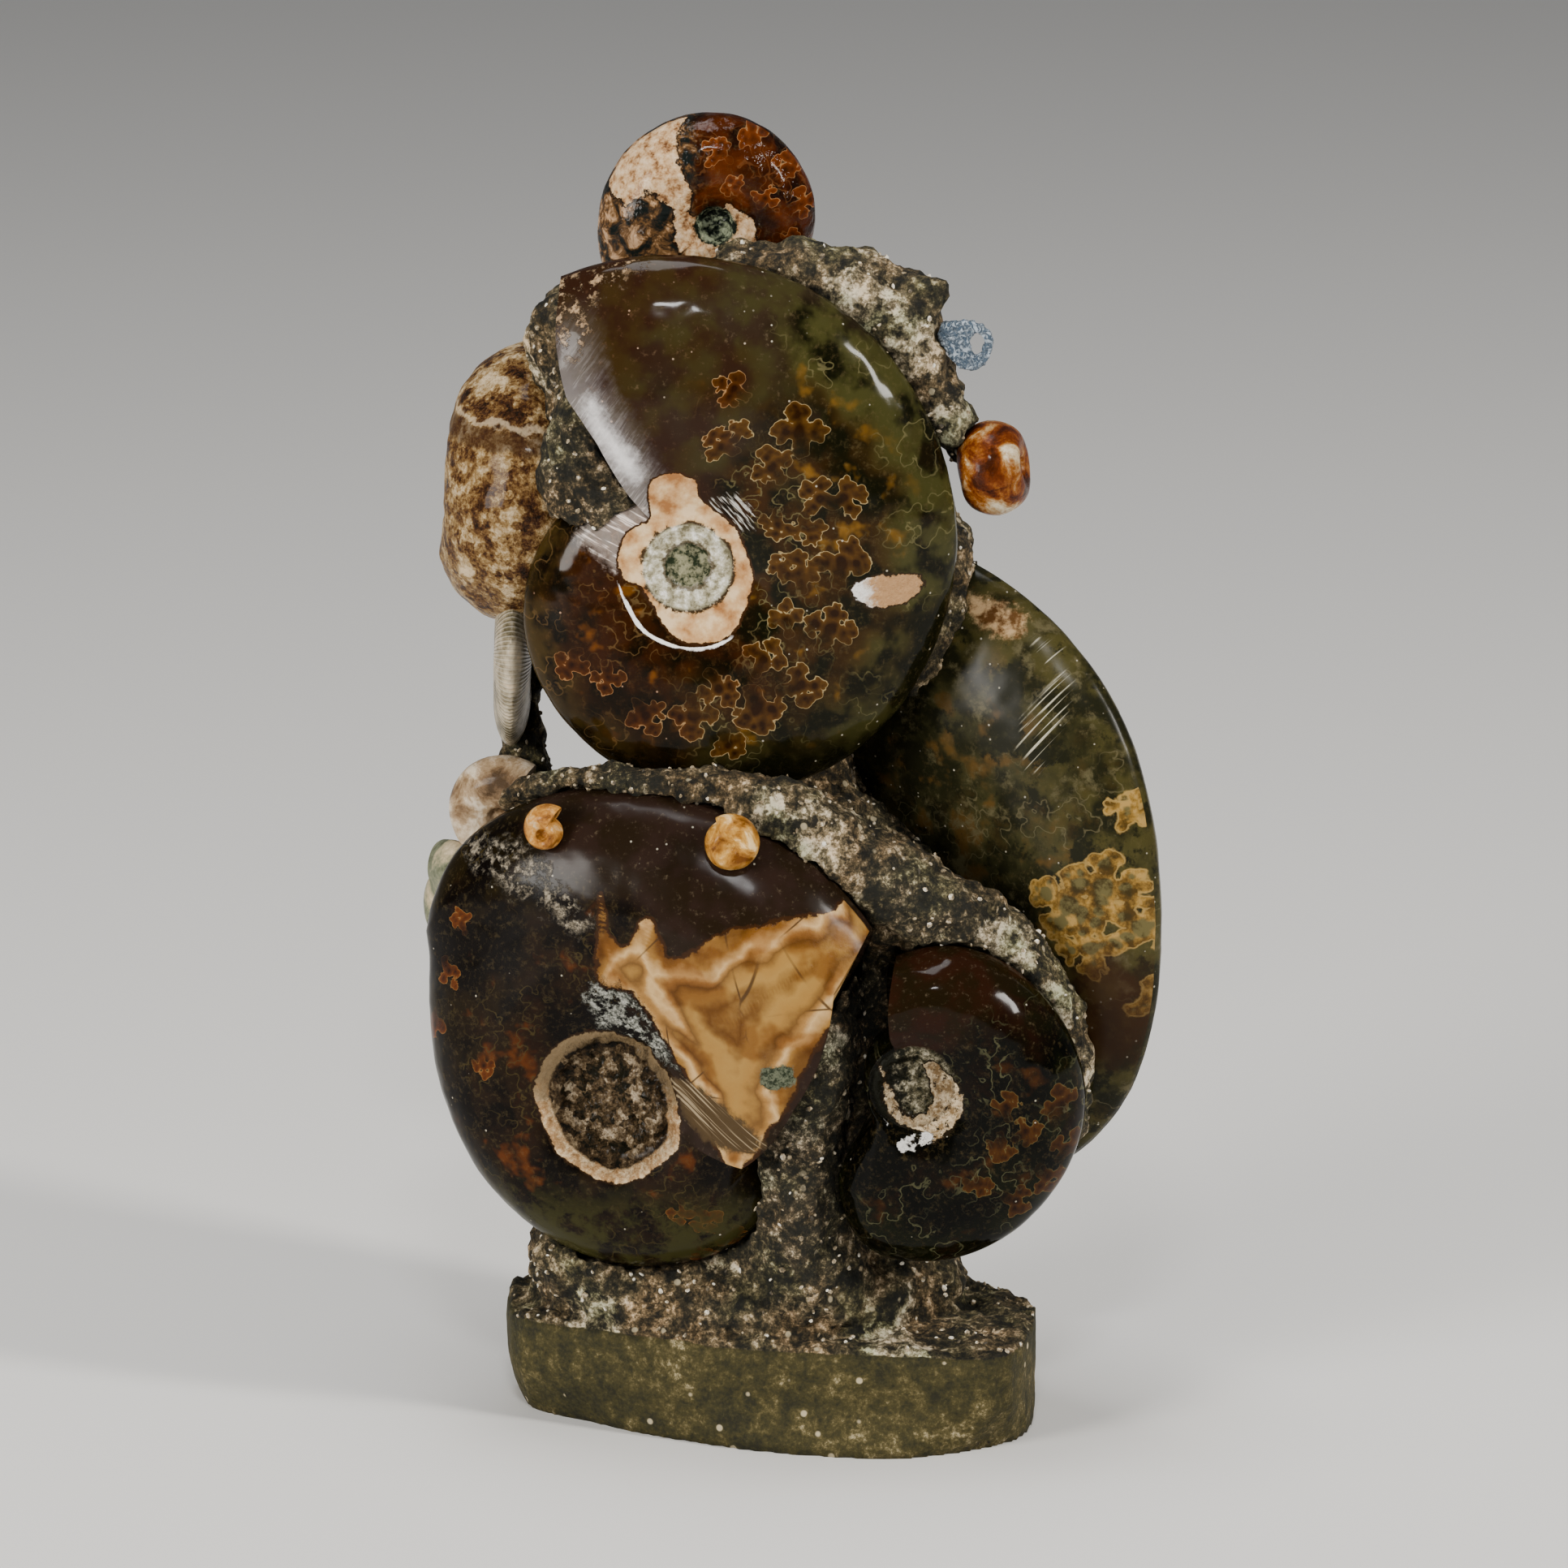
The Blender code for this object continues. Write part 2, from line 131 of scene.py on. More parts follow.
@dataclass
class Shell:
    """One coiled shell. Radii run back from the mouth over one whorl, in equal steps."""

    name: str
    centre: tuple
    radii: tuple
    half_thickness: float
    taper: float = 0.6
    mouth_angle: float = 0.0
    turns: int = -1
    yaw: float = 0.0
    tilt: float = 0.0
    hub: float = 9.0
    mouth_line: tuple = ((0.0, 0.0), (1.0, 0.0))
    hub_drop: tuple = ((0.0, 1.8), (0.6, 1.5), (0.85, 0.2), (1.0, 0.0))
    hub_rough: float = 0.3
    mouth_roll: float = 0.16
    wear: float = 0.12
    columns: int = 200
    rows: int = 28
    back_rows: int = 20
    rings: int = 16


SHELL_LIST = (
    Shell(
        name="ammonite_upper_front",
        centre=(-18.5, -8.0, 165.0),
        radii=(58.0, 55.8, 51.4, 48.8, 47.8, 43.0, 35.4, 27.0, 20.2),
        half_thickness=15.0,
        taper=0.5,
        mouth_angle=113.0,
        mouth_line=((0.0, 14), (0.3, 14), (0.5, 11), (0.67, 11), (0.84, 6), (1.0, 0)),
        hub=9.5,
        hub_drop=(
            (0.0, 2.4), (0.34, 2.0), (0.42, 1.0), (0.62, 0.7), (0.68, 0.25), (0.9, 0.1), (1.0, 0.0)
        ),
        hub_rough=0.35,
        mouth_roll=0.24,
        columns=400,
        rows=70,
        rings=24,
    ),
    Shell(
        name="ammonite_lower_left",
        centre=(-29.0, -16.0, 68.3),
        radii=(56.5, 56.2, 54.6, 43.6, 37.8, 36.4, 37.4, 36.0, 27.6),
        half_thickness=18.5,
        taper=0.62,
        mouth_angle=36.0,
        turns=1,
        mouth_line=((0.0, -66), (0.3, -66), (0.48, -60), (0.61, -34), (0.83, -7), (1.0, 0)),
        yaw=-15.0,
        hub=12.0,
        hub_drop=((0.0, 3.4), (0.45, 3.8), (0.72, 2.6), (0.84, 0.6), (0.95, 0.1), (1.0, 0.0)),
        hub_rough=0.9,
        columns=400,
        rows=70,
        rings=24,
    ),
    Shell(
        name="ammonite_lower_right",
        centre=(22.5, -25.0, 71.6),
        radii=(
            23.8, 26.4, 28.0, 29.4, 31.4, 33.4, 34.9, 36.4, 37.0,
            34.5, 23.0, 12.0, 10.0, 9.7, 9.6, 9.6, 9.6,
        ),
        half_thickness=12.5,
        taper=0.62,
        mouth_angle=97.0,
        mouth_line=((0.0, 20), (0.4, 18), (1.0, 0)),
        hub=7.2,
        hub_drop=((0.0, 2.0), (0.5, 2.2), (0.7, 1.0), (0.8, 0.2), (1.0, 0.0)),
        hub_rough=0.6,
        columns=320,
        rows=50,
        rings=20,
    ),
    Shell(
        name="ammonite_right",
        centre=(20.0, 18.0, 95.0),
        radii=(69.5, 69.0, 65.4, 58.8, 61.6, 58.8, 50.0, 42.0, 33.0),
        half_thickness=15.5,
        taper=0.55,
        mouth_angle=140.0,
        yaw=-34.0,
        hub=13.0,
        columns=400,
        rows=60,
        rings=20,
    ),
    Shell(
        name="ammonite_top",
        centre=(-13.5, 12.0, 223.6),
        radii=(23.4, 22.0, 21.2, 20.6, 19.4, 18.6, 16.4, 14.2, 12.6),
        half_thickness=10.0,
        taper=0.7,
        mouth_angle=215.0,
        hub=4.4,
        hub_drop=((0.0, 3.4), (0.5, 3.2), (0.8, 0.6), (1.0, 0.0)),
        wear=0.2,
        columns=280,
        rows=44,
    ),
    Shell(
        name="ammonite_left",
        centre=(-48.8, 19.0, 171.0),
        radii=(29.0, 29.6, 29.0, 27.0, 25.0, 24.4, 25.0, 25.4, 25.6),
        half_thickness=17.2,
        taper=0.84,
        mouth_angle=98.0,
        yaw=-90.0,
        tilt=5.0,
        hub=6.0,
        wear=0.45,
        columns=240,
        rows=30,
    ),
    Shell(
        name="ammonite_left_narrow",
        centre=(-51.3, 14.5, 141.0),
        radii=(20.0, 20.0, 19.4, 18.8, 18.2, 17.6, 17.2, 17.4, 17.6),
        half_thickness=3.9,
        taper=0.9,
        mouth_angle=120.0,
        yaw=-90.0,
        tilt=2.0,
        hub=4.0,
        columns=260,
        rows=16,
    ),
    Shell(
        name="ammonite_left_shoulder",
        centre=(-53.0, 11.0, 110.8),
        radii=(12.4, 12.2, 12.0, 11.6, 11.2, 10.6, 9.8, 9.0, 8.4),
        half_thickness=5.4,
        taper=0.8,
        mouth_angle=60.0,
        turns=1,
        yaw=-18.0,
        hub=2.6,
        columns=140,
        rows=16,
    ),
    Shell(
        name="ammonite_left_low",
        centre=(-62.2, 13.0, 92.6),
        radii=(13.4, 13.2, 12.8, 12.2, 11.4, 10.4, 9.6, 9.0, 8.6),
        half_thickness=5.6,
        taper=0.8,
        mouth_angle=110.0,
        yaw=-58.0,
        tilt=-4.0,
        hub=2.6,
        columns=140,
        rows=16,
    ),
    Shell(
        name="ammonite_far_right",
        centre=(37.2, -2.0, 180.2),
        radii=(9.8, 9.8, 9.8, 9.7, 9.6, 9.4, 9.2, 9.0, 8.8),
        half_thickness=6.8,
        taper=0.9,
        mouth_angle=190.0,
        yaw=80.0,
        tilt=-10.0,
        hub=2.2,
        columns=140,
        rows=18,
    ),
    Shell(
        name="juvenile_round",
        centre=(-10.7, -30.5, 117.6),
        radii=(6.2, 6.1, 6.0, 5.9, 5.8, 5.7, 5.6, 5.5, 5.4),
        half_thickness=4.4,
        taper=0.9,
        mouth_angle=120.0,
        hub=1.2,
        hub_drop=((0.0, 0.2), (1.0, 0.0)),
        columns=120,
        rows=16,
    ),
    Shell(
        name="juvenile_broken",
        centre=(-44.4, -22.5, 117.4),
        radii=(6.2, 5.8, 5.2, 4.6, 4.2, 4.0, 3.8, 3.6, 3.4),
        half_thickness=3.4,
        taper=0.8,
        mouth_angle=60.0,
        turns=1,
        yaw=-18.0,
        hub=1.2,
        columns=120,
        rows=16,
    ),
)
SHELLS = {shell.name: shell for shell in SHELL_LIST}

# lobes of the sutures that stand out, on each disc: x, y, length, and the way that the lobe points
LOBES = {
    "ammonite_upper_front": (
        (20.2, 26.2, 10, 95), (8.4, 34.2, 7, 150), (6.1, 23.7, 7, 160), (9.5, 26.5, 5, 60),
        (15.4, 19.6, 8, 130), (24.1, 13.9, 8, 150), (28.4, 13.9, 8, 20), (16.3, 9.0, 7, -90),
        (21.5, 8.2, 7, -80), (28.0, 1.7, 10, 80), (20.3, -0.3, 8, 95), (17.0, 0.7, 6, 120),
        (25.7, -10.7, 10, 70), (17.8, -9.0, 7, 100), (13.9, -16.5, 8, 60), (12.6, -25.8, 10, -75),
        (5.5, -22.0, 8, -60), (1.0, -27.4, 9, -90), (-7.7, -27.6, 8, -60), (-14.7, -20.2, 7, -90),
        (-21.1, -18.0, 7, -110), (20.3, -21.6, 9, 10), (7.3, -33.0, 7, -70),
    ),
    "ammonite_lower_left": (
        (16.2, -23.3, 6, -60), (12.0, -22.0, 5, -100), (20.0, -27.5, 6, -40), (13.9, -31.0, 6, -90),
        (-33.0, 20.0, 6, -60), (-36.5, 9.0, 6, -90), (-30.0, 30.0, 5, 120), (-25.0, 4.0, 5, -70),
    ),
    "ammonite_lower_right": (
        (27.0, -3.3, 7, 100), (28.5, -12.5, 7, 60), (24.7, -18.1, 7, -60), (17.0, -3.0, 6, 90),
        (16.0, -11.0, 6, -90), (20.5, -8.0, 6, 30), (12.0, -18.0, 6, -70), (19.0, -22.0, 7, -30),
    ),
    "ammonite_right": (
        (44.0, 6.0, 15, 150), (50.0, 10.0, 14, 80), (56.0, 2.0, 13, 40), (48.0, -2.0, 12, 200),
        (58.0, -12.0, 10, 30), (53.0, 24.0, 8, 80), (55.0, 33.0, 6, 70),
    ),
    "ammonite_top": (
        (0.5, 14.0, 6, 150), (7.0, 16.0, 6, 100), (12.5, 10.5, 6, 60), (3.5, 7.5, 5, 120),
        (9.0, 5.5, 5, 60), (15.5, 4.0, 6, 20), (13.0, -2.5, 6, -20),
    ),
}

# outlines of the patches that each disc shows, named after what is seen there
PATCHES = {
    "ammonite_upper_front": {
        "cream": (
            (-6.9, 13.6), (-6.4, 16.8), (-2.5, 18.3), (1.5, 16.7), (1.9, 13.5), (5.6, 10.3), (8.9, 6.8),
            (11.0, 1.5), (11.7, -2.3), (10.2, -7.6), (7.7, -12.1), (3.0, -14.0), (-1.9, -13.0),
            (-4.1, -10.7), (-6.3, -7.3), (-8.5, -3.4), (-11.7, -1.8), (-12.4, 3.0), (-10.6, 6.8),
            (-6.9, 9.0),
        ),
        "chip": ((29.8, -2.8), (34.9, -0.9), (42.3, -1.8), (40.9, -5.5), (35.0, -7.0), (31.3, -5.7)),
        "scraped": (
            (-19.9, 6.4), (-12.8, 10.7), (-8.4, 11.5), (-6.9, 8.3), (-11.7, 4.5), (-12.1, 0.0), (-16.5, 3.1)
        ),
        "frosted": ((3.7, 12.2), (8.5, 14.2), (11.4, 11.6), (12.2, 7.7), (8.5, 6.8), (4.8, 9.0)),
        "crescent": (
            (-12.8, -2.3), (-11.4, -6.8), (-8.1, -12.0), (-1.4, -15.1), (4.9, -14.8), (9.0, -12.0),
            (8.6, -11.9), (4.6, -14.2), (-1.3, -14.5), (-7.5, -11.6), (-10.8, -6.6),
        ),
        # painted highlight: the white core of a lamp's reflection near the mouth
        "rubbed": (
            (-17.0, 32.0), (-14.5, 27.0), (-10.5, 22.5), (-8.5, 18.0), (-11.0, 18.0), (-14.5, 23.0),
            (-18.0, 30.0),
        ),
        "corner": (
            (-26.0, 56.0), (-6.0, 58.0), (-11.0, 53.0), (-15.5, 50.5), (-18.0, 46.0), (-18.5, 41.0),
            (-22.0, 40.0),
        ),
    },
    "ammonite_lower_left": {
        "pearl": (
            (-2.1, 38.8), (-0.4, 32.3), (1.7, 29.5), (4.0, 30.4), (6.9, 35.4), (8.9, 32.3), (11.0, 28.3),
            (14.8, 29.0), (20.7, 33.1), (28.0, 34.9), (34.0, 36.0), (39.9, 37.0), (46.0, 41.0),
            (51.0, 35.0), (48.0, 29.0), (42.4, 20.0), (36.9, 10.0), (33.0, 1.3), (29.0, -4.4),
            (23.7, -12.0), (19.0, -5.9), (17.3, -2.4), (14.0, 4.1), (9.4, 11.5), (5.1, 19.3), (2.1, 21.5),
            (-1.7, 22.0), (-2.4, 26.8),
        ),
        "hub_edge": (
            (-15.4, 1.6), (-10.8, 9.0), (-2.3, 11.7), (4.5, 9.3), (10.8, 0.6), (12.0, -7.1), (10.7, -10.4),
            (4.6, -15.6), (-2.4, -16.9), (-10.9, -12.2), (-14.7, -4.6),
        ),
        "scraped": ((10.8, 3.7), (18.9, 1.8), (28.1, -4.3), (27.2, -7.6), (18.9, -7.5), (13.1, -3.1)),
        "frosted": (
            (-3.5, 22.0), (3.0, 20.5), (8.0, 13.0), (11.0, 6.0), (7.0, 8.0), (2.0, 12.0), (-3.0, 13.0),
            (-5.0, 18.0),
        ),
        "stain": ((28.3, 8.6), (31.5, 9.6), (34.7, 9.4), (34.0, 5.8), (29.5, 4.8)),
        "crust": (
            (-30.0, 44.0), (-18.0, 45.0), (-8.0, 38.0), (-4.0, 33.0), (-8.0, 31.0), (-13.0, 36.0),
            (-24.0, 39.0),
        ),
    },
    "ammonite_lower_right": {
        "cream": (
            (-6.4, 4.6), (-4.9, 1.0), (-5.2, -2.6), (-2.2, -7.1), (2.3, -8.6), (3.8, -10.1), (8.2, -6.2),
            (8.5, -0.8), (5.9, 3.0), (2.2, 4.4), (3.8, -2.3), (2.3, -5.1), (-2.2, -5.1),
        ),
        "chip": ((-2.9, -10.8), (-0.7, -9.4), (2.3, -8.6), (3.8, -9.7), (1.5, -11.2), (-1.4, -12.1)),
    },
    "ammonite_right": {
        "scraped": ((33.0, 53.0), (37.5, 50.0), (33.0, 33.0), (38.0, 31.5), (41.0, 36.0), (39.5, 47.0)),
        "blotch": ((19.0, 60.0), (27.0, 58.5), (31.0, 55.0), (27.0, 53.5), (22.0, 56.0)),
        "red": ((46.0, -4.0), (56.0, -6.0), (58.0, -16.0), (53.0, -26.0), (45.0, -22.0)),
    },
    "ammonite_top": {
        "peach": (
            (-4.7, 21.0), (-6.8, 16.8), (-6.8, 12.1), (-4.6, 7.0), (-4.7, 2.3), (-0.3, 1.7), (2.7, 3.8),
            (6.4, 1.6), (7.1, -2.9), (9.0, -8.0), (-4.0, -8.0), (-7.0, -3.0), (-7.5, 3.0), (-10.5, 6.5),
            (-13.5, 6.5), (-16.5, 4.5), (-20.0, 9.0), (-15.0, 18.0), (-9.0, 22.0),
        ),
    },
}


@dataclass
class Value:
    """What comes out of a node. Sums and products of values are nodes as well."""

    graph: object
    socket: object

    def __add__(self, other):
        return self.graph.math("ADD", self, other)

    def __sub__(self, other):
        return self.graph.math("SUBTRACT", self, other)

    def __rsub__(self, other):
        return self.graph.math("SUBTRACT", other, self)

    def __mul__(self, other):
        return self.graph.math("MULTIPLY", self, other)


class Graph:
    """Adds the nodes of one material and wires them."""

    def __init__(self, name):
        self.material = bpy.data.materials.new(name)
        self.material.use_nodes = True
        self.tree = self.material.node_tree
        self.shader = self.tree.nodes["Principled BSDF"]

    def add(self, kind, output=0, inputs=None, **settings):
        node = self.tree.nodes.new("ShaderNode" + kind)
        for name, value in settings.items():
            setattr(node, name, value)
        for name, value in (inputs or {}).items():
            self.wire(value, node.inputs[name])
        return Value(self, node.outputs[output])

    def wire(self, value, socket):
        if isinstance(value, Value):
            self.tree.links.new(value.socket, socket)
        elif isinstance(value, tuple) and socket.type == "RGBA":
            socket.default_value = (*value[:3], 1.0)
        else:
            socket.default_value = value

    def finish(self, **values):
        """Sets the shader's own sockets, where a name's underscores are spaces."""
        for name, value in values.items():
            self.wire(value, self.shader.inputs[name.replace("_", " ")])
        return self.material

    def math(self, operation, first, second=0.0, clamp=False):
        return self.add("Math", inputs={0: first, 1: second}, operation=operation, use_clamp=clamp)

    def most(self, first, second):
        return self.math("MAXIMUM", first, second)

    def mix(self, amount, first, second, blend="MIX"):
        return self.add(
            "Mix", output=2, inputs={0: amount, 6: first, 7: second}, data_type="RGBA", blend_type=blend
        )

    def tinted(self, colour, tint):
        return self.mix(1.0, colour, tint, "MULTIPLY")

    def fade(self, value, low, high):
        """Smoothly from 0 at low to 1 at high."""
        return self.add(
            "MapRange", inputs={0: value, 1: low, 2: high, 3: 0.0, 4: 1.0}, interpolation_type="SMOOTHSTEP"
        )

    def colours(self, value, *stops):
        """A colour ramp from pairs of place and colour."""
        ramp = self.add("ValToRGB", inputs={0: value})
        elements = ramp.socket.node.color_ramp.elements
        while len(elements) < len(stops):
            elements.new(0.5)
        for element, (place, colour) in zip(elements, stops):
            element.position = place
            element.color = (*colour, 1.0)
        return ramp

    def where(self):
        """The place on the piece, in millimetres."""
        spot = self.add("TexCoord", output=3)
        return self.add("Mapping", inputs={"Vector": spot, "Scale": (1000.0, 1000.0, 1000.0)})

    def painted(self, name, output=2):
        """A value kept on the mesh: output 1 is a vector, 2 a number."""
        return self.add("Attribute", output=output, attribute_name=name)

    def sideways(self):
        """How far right of the disc's middle, in millimetres."""
        return self.add("SeparateXYZ", inputs={0: self.painted("plane", 1)})

    def upward(self):
        """How far above the disc's middle, in millimetres."""
        return self.add("SeparateXYZ", output=1, inputs={0: self.painted("plane", 1)})

    def cloud(self, spot, size, detail=5.0, rough=0.6, warp=0.0):
        shape = {"Scale": 1 / size, "Detail": detail, "Roughness": rough, "Distortion": warp}
        return self.add("TexNoise", inputs={"Vector": spot, **shape})

    def cells(self, spot, size, output=0, feature="F1", dimensions="3D"):
        return self.add(
            "TexVoronoi", output=output, inputs={"Vector": spot, "Scale": 1 / size}, feature=feature,
            voronoi_dimensions=dimensions,
        )

    def stretched(self, spot, turned, length):
        """Turned by an angle in degrees on the disc, then drawn out along that way."""
        way = {"Rotation": (0.0, 0.0, math.radians(turned)), "Scale": (length, 1.0, FLATTENED)}
        return self.add("Mapping", inputs={"Vector": spot, **way}, vector_type="TEXTURE")

    def dents(self, height, depth):
        """A bump from a height, with its depth in millimetres."""
        return self.add("Bump", inputs={"Height": height, "Strength": 1.0, "Distance": depth * MM})

    def about_zero(self, value, amount):
        """A noise of 0 to 1 turned into one that runs to both sides of 0."""
        return (value - 0.5) * (2 * amount)

    def uneven(self, value, cloud, amount):
        """The value, shifted to both sides by a noise of 0 to 1."""
        return value + self.about_zero(cloud, amount)

    def patch(self, name, spot, soft=0.15, wobble=1.2, size=1.6, grow=0.0):
        """1 inside a painted outline, moved out by grow, and 0 outside it, with an uneven edge."""
        edge = self.uneven(self.painted(name), self.cloud(spot, size, 4.0, 0.65), wobble)
        return self.fade(edge, -soft - grow, soft - grow)

    def chunks(self, spot, size):
        """A random tone, 0 to 1, for each uneven chunk of about this size."""
        noise_colour = self.add("TexNoise", output=1, inputs={"Vector": spot, "Scale": 1.4 / size})
        bent = self.add("VectorMath", inputs={0: noise_colour, "Scale": 0.9 * size}, operation="SCALE")
        moved = self.add("VectorMath", inputs={0: spot, 1: bent}, operation="ADD")
        return self.add("SeparateColor", inputs={0: self.cells(moved, size, output=1)})


def spline(values, place):
    """Catmull-Rom through evenly spaced values; place runs from 0 to 1."""
    values = np.asarray(values, float)
    last = len(values) - 1
    at = np.clip(place, 0.0, 1.0) * last
    i = np.minimum(at.astype(int), last - 1)
    f = at - i
    p0 = values[np.maximum(i - 1, 0)]
    p1 = values[i]
    p2 = values[i + 1]
    p3 = values[np.minimum(i + 2, last)]
    return 0.5 * (
        2 * p1 + (p2 - p0) * f + (2 * p0 - 5 * p1 + 4 * p2 - p3) * f**2 + (3 * p1 - p0 - 3 * p2 + p3) * f**3
    )


def shell_frame(shell):
    """Turns the shell's own frame (X right, Y up, Z out of its front face) into the cluster's frame."""
    facing = Matrix(((1, 0, 0), (0, 0, -1), (0, 1, 0)))
    turned = (
        Matrix.Rotation(math.radians(shell.tilt), 3, "Y")
        @ Matrix.Rotation(math.radians(shell.yaw), 3, "Z")
        @ facing
    )
    return Matrix.Translation(Vector(shell.centre) * MM) @ turned.to_4x4()


class Coil:
    """Collects the points of one fine coil, with what the materials read from them."""

    def __init__(self, shell):
        self.shell = shell
        self.points, self.along, self.across, self.inward = [], [], [], []
        self.count = 0

    def put(self, reach, height, turn, across):
        """Adds an array of points and returns their numbers in the same shape."""
        shell = self.shell
        reach, height, turn, across = np.broadcast_arrays(reach, height, turn, across)
        shares, bends = zip(*shell.mouth_line)
        bend = np.interp(reach / shell.radii[0], shares, bends)
        angle = np.radians(shell.mouth_angle + bend + shell.turns * 360 * turn)
        self.points.append(
            np.stack([reach * np.cos(angle), reach * np.sin(angle), height], -1).reshape(-1, 3)
        )
        self.along.append(turn.ravel() * 2 * math.pi)
        self.across.append(across.ravel())
        self.inward.append(reach.ravel() / (shell.hub * RIM))
        numbers = np.arange(self.count, self.count + reach.size).reshape(reach.shape)
        self.count += reach.size
        return numbers


def coil_mesh(shell):
    """A closed coil: two flanks that meet on the outer keel, a mouth wall and a sunken hub on each side."""
    n, rings = shell.columns, shell.rings
    coil = Coil(shell)
    turn = np.arange(n + 1) / n
    rim = shell.hub * RIM
    radius = spline(shell.radii, turn) - KEEL_INSET
    thick = shell.half_thickness * shell.taper**turn
    level = shell.half_thickness * shell.taper * RIM_LEVEL

    def flank(rows):
        """Distance out, height and share of the way out, for every column and row of one side."""
        step = np.arange(1, rows + 1) / (rows + 1)
        across = (0.5 * np.sin(step * math.pi / 2) + 0.5 * step)[None, :]
        reach = rim + (radius[:, None] - rim) * across
        dip = (1 - level / thick)[:, None] * (1 - across) ** 3
        height = thick[:, None] * (1 - across**FLANK_FLATNESS) ** KEEL_EDGE * (1 - dip)
        from_mouth = turn[:, None] * 2 * math.pi * reach
        lip = np.exp(-((from_mouth / MOUTH_ROLL_WIDTH) ** 1.3)) * np.sqrt(across)
        return reach, height * (1 - shell.mouth_roll * lip), across

    keel = coil.put(radius, 0.0, turn, 1.0)
    inside = np.linspace(1.0, 0.06, rings)[1:]
    stops, drops = zip(*shell.hub_drop)
    faces = []
    walls = []
    for side, rows in ((1, shell.rows), (-1, shell.back_rows)):
        reach, height, across = flank(rows)
        rim_ring = coil.put(rim, level * side, turn[:-1], 0.0)
        body = coil.put(reach, height * side, turn[:, None], across)
        grid = np.column_stack([np.append(rim_ring, rim_ring[0]), body, keel])
        faces.append(
            np.stack([grid[:-1, :-1], grid[1:, :-1], grid[1:, 1:], grid[:-1, 1:]], -1).reshape(-1, 4)
        )
        drop = np.interp(inside, stops, drops)[None, :]
        walls.append((grid[0], grid[-1]))
        bowl = coil.put(rim * inside[None, :], (level - drop) * side, turn[:-1, None], -1.0)
        bowl = np.column_stack([rim_ring, bowl])
        bowl = np.vstack([bowl, bowl[:1]])
        faces.append(
            np.stack([bowl[:-1, :-1], bowl[:-1, 1:], bowl[1:, 1:], bowl[1:, :-1]], -1).reshape(-1, 4)
        )
        middle = coil.put(np.array([0.001]), (level - drops[0]) * side, np.array([0.0]), -1.0)
        fan = bowl[:, -1]
        faces += [np.array([[middle[0], fan[i + 1], fan[i]]]) for i in range(n)]
    for mouth, tail in walls:
        faces.append(np.array([[mouth[0], mouth[1], tail[1]]]))
        faces.append(np.stack([mouth[1:-1], mouth[2:], tail[2:], tail[1:-1]], -1))
    points = np.concatenate(coil.points)

    mesh = bpy.data.meshes.new(shell.name)
    mesh.from_pydata((points * MM).tolist(), [], [face.tolist() for block in faces for face in block])
    paint(mesh, "plane", points, "FLOAT_VECTOR")
    along, inward = np.concatenate(coil.along), np.concatenate(coil.inward)
    paint(mesh, "along", along)
    paint(mesh, "across", np.concatenate(coil.across))
    paint(mesh, "inward", inward)
    paint_markings(mesh, shell, points)
    turn_outward(mesh)
    roughen_shell(mesh, shell, np.concatenate(coil.across), inward)
    mesh.transform(shell_frame(shell))
    mesh.shade_smooth()
    mesh.set_sharp_from_angle(angle=math.radians(SHARP_ANGLE))
    return mesh


def paint(mesh, name, values, kind="FLOAT"):
    """Keeps one value or vector for each point of the mesh."""
    layer = mesh.attributes.new(name, kind, "POINT")
    field = "vector" if kind == "FLOAT_VECTOR" else "value"
    layer.data.foreach_set(field, np.asarray(values, np.float32).ravel())


def turn_outward(mesh):
    work = bmesh.new()
    work.from_mesh(mesh)
    bmesh.ops.recalc_face_normals(work, faces=work.faces)
    work.to_mesh(mesh)
    work.free()


def roughen_shell(mesh, shell, across, inward):
    """Breaks up the filled hub, and gives the polished flanks a faint unevenness."""
    normals = np.empty(len(mesh.vertices) * 3, np.float32)
    mesh.vertex_normals.foreach_get("vector", normals)
    normals = normals.reshape(-1, 3)
    for i, point in enumerate(mesh.vertices):
        if across[i] < 0:
            size = 0.9 + 0.12 * shell.hub
            amount = shell.hub_rough * min(1.0, max(0.0, (0.92 - inward[i]) / 0.2))
        else:
            size, amount = 9.0, shell.wear
        push = noise.fractal(point.co / (size * MM), 0.7, 2.0, 3) * amount
        point.co += Vector(normals[i].tolist()) * push * MM


def scattered_lobes(shell, seed):
    """Rows of lobes across the whorl, one row for each suture, all pointing roughly to the mouth."""
    rng = np.random.default_rng(seed)
    rim = shell.hub * RIM
    shares, bends = zip(*shell.mouth_line)
    lobes = []
    for turn in np.arange(0.06, 1.0, SUTURE_STEP):
        height = float(spline(shell.radii, np.array([turn]))[0]) - rim
        count = max(2, round(height / LOBE_SPACING))
        for k in range(count):
            reach = rim + height * (k + 0.5 + rng.uniform(-0.25, 0.25)) / count
            bend = np.interp(reach / shell.radii[0], shares, bends)
            angle = shell.mouth_angle + bend + shell.turns * 360 * (turn + rng.uniform(-0.014, 0.014))
            length = height / count * rng.uniform(0.8, 1.3)
            pointing = angle - 90 * shell.turns + rng.uniform(-50, 50)
            x, y = reach * math.cos(math.radians(angle)), reach * math.sin(math.radians(angle))
            lobes.append((x, y, length, pointing))
    return lobes


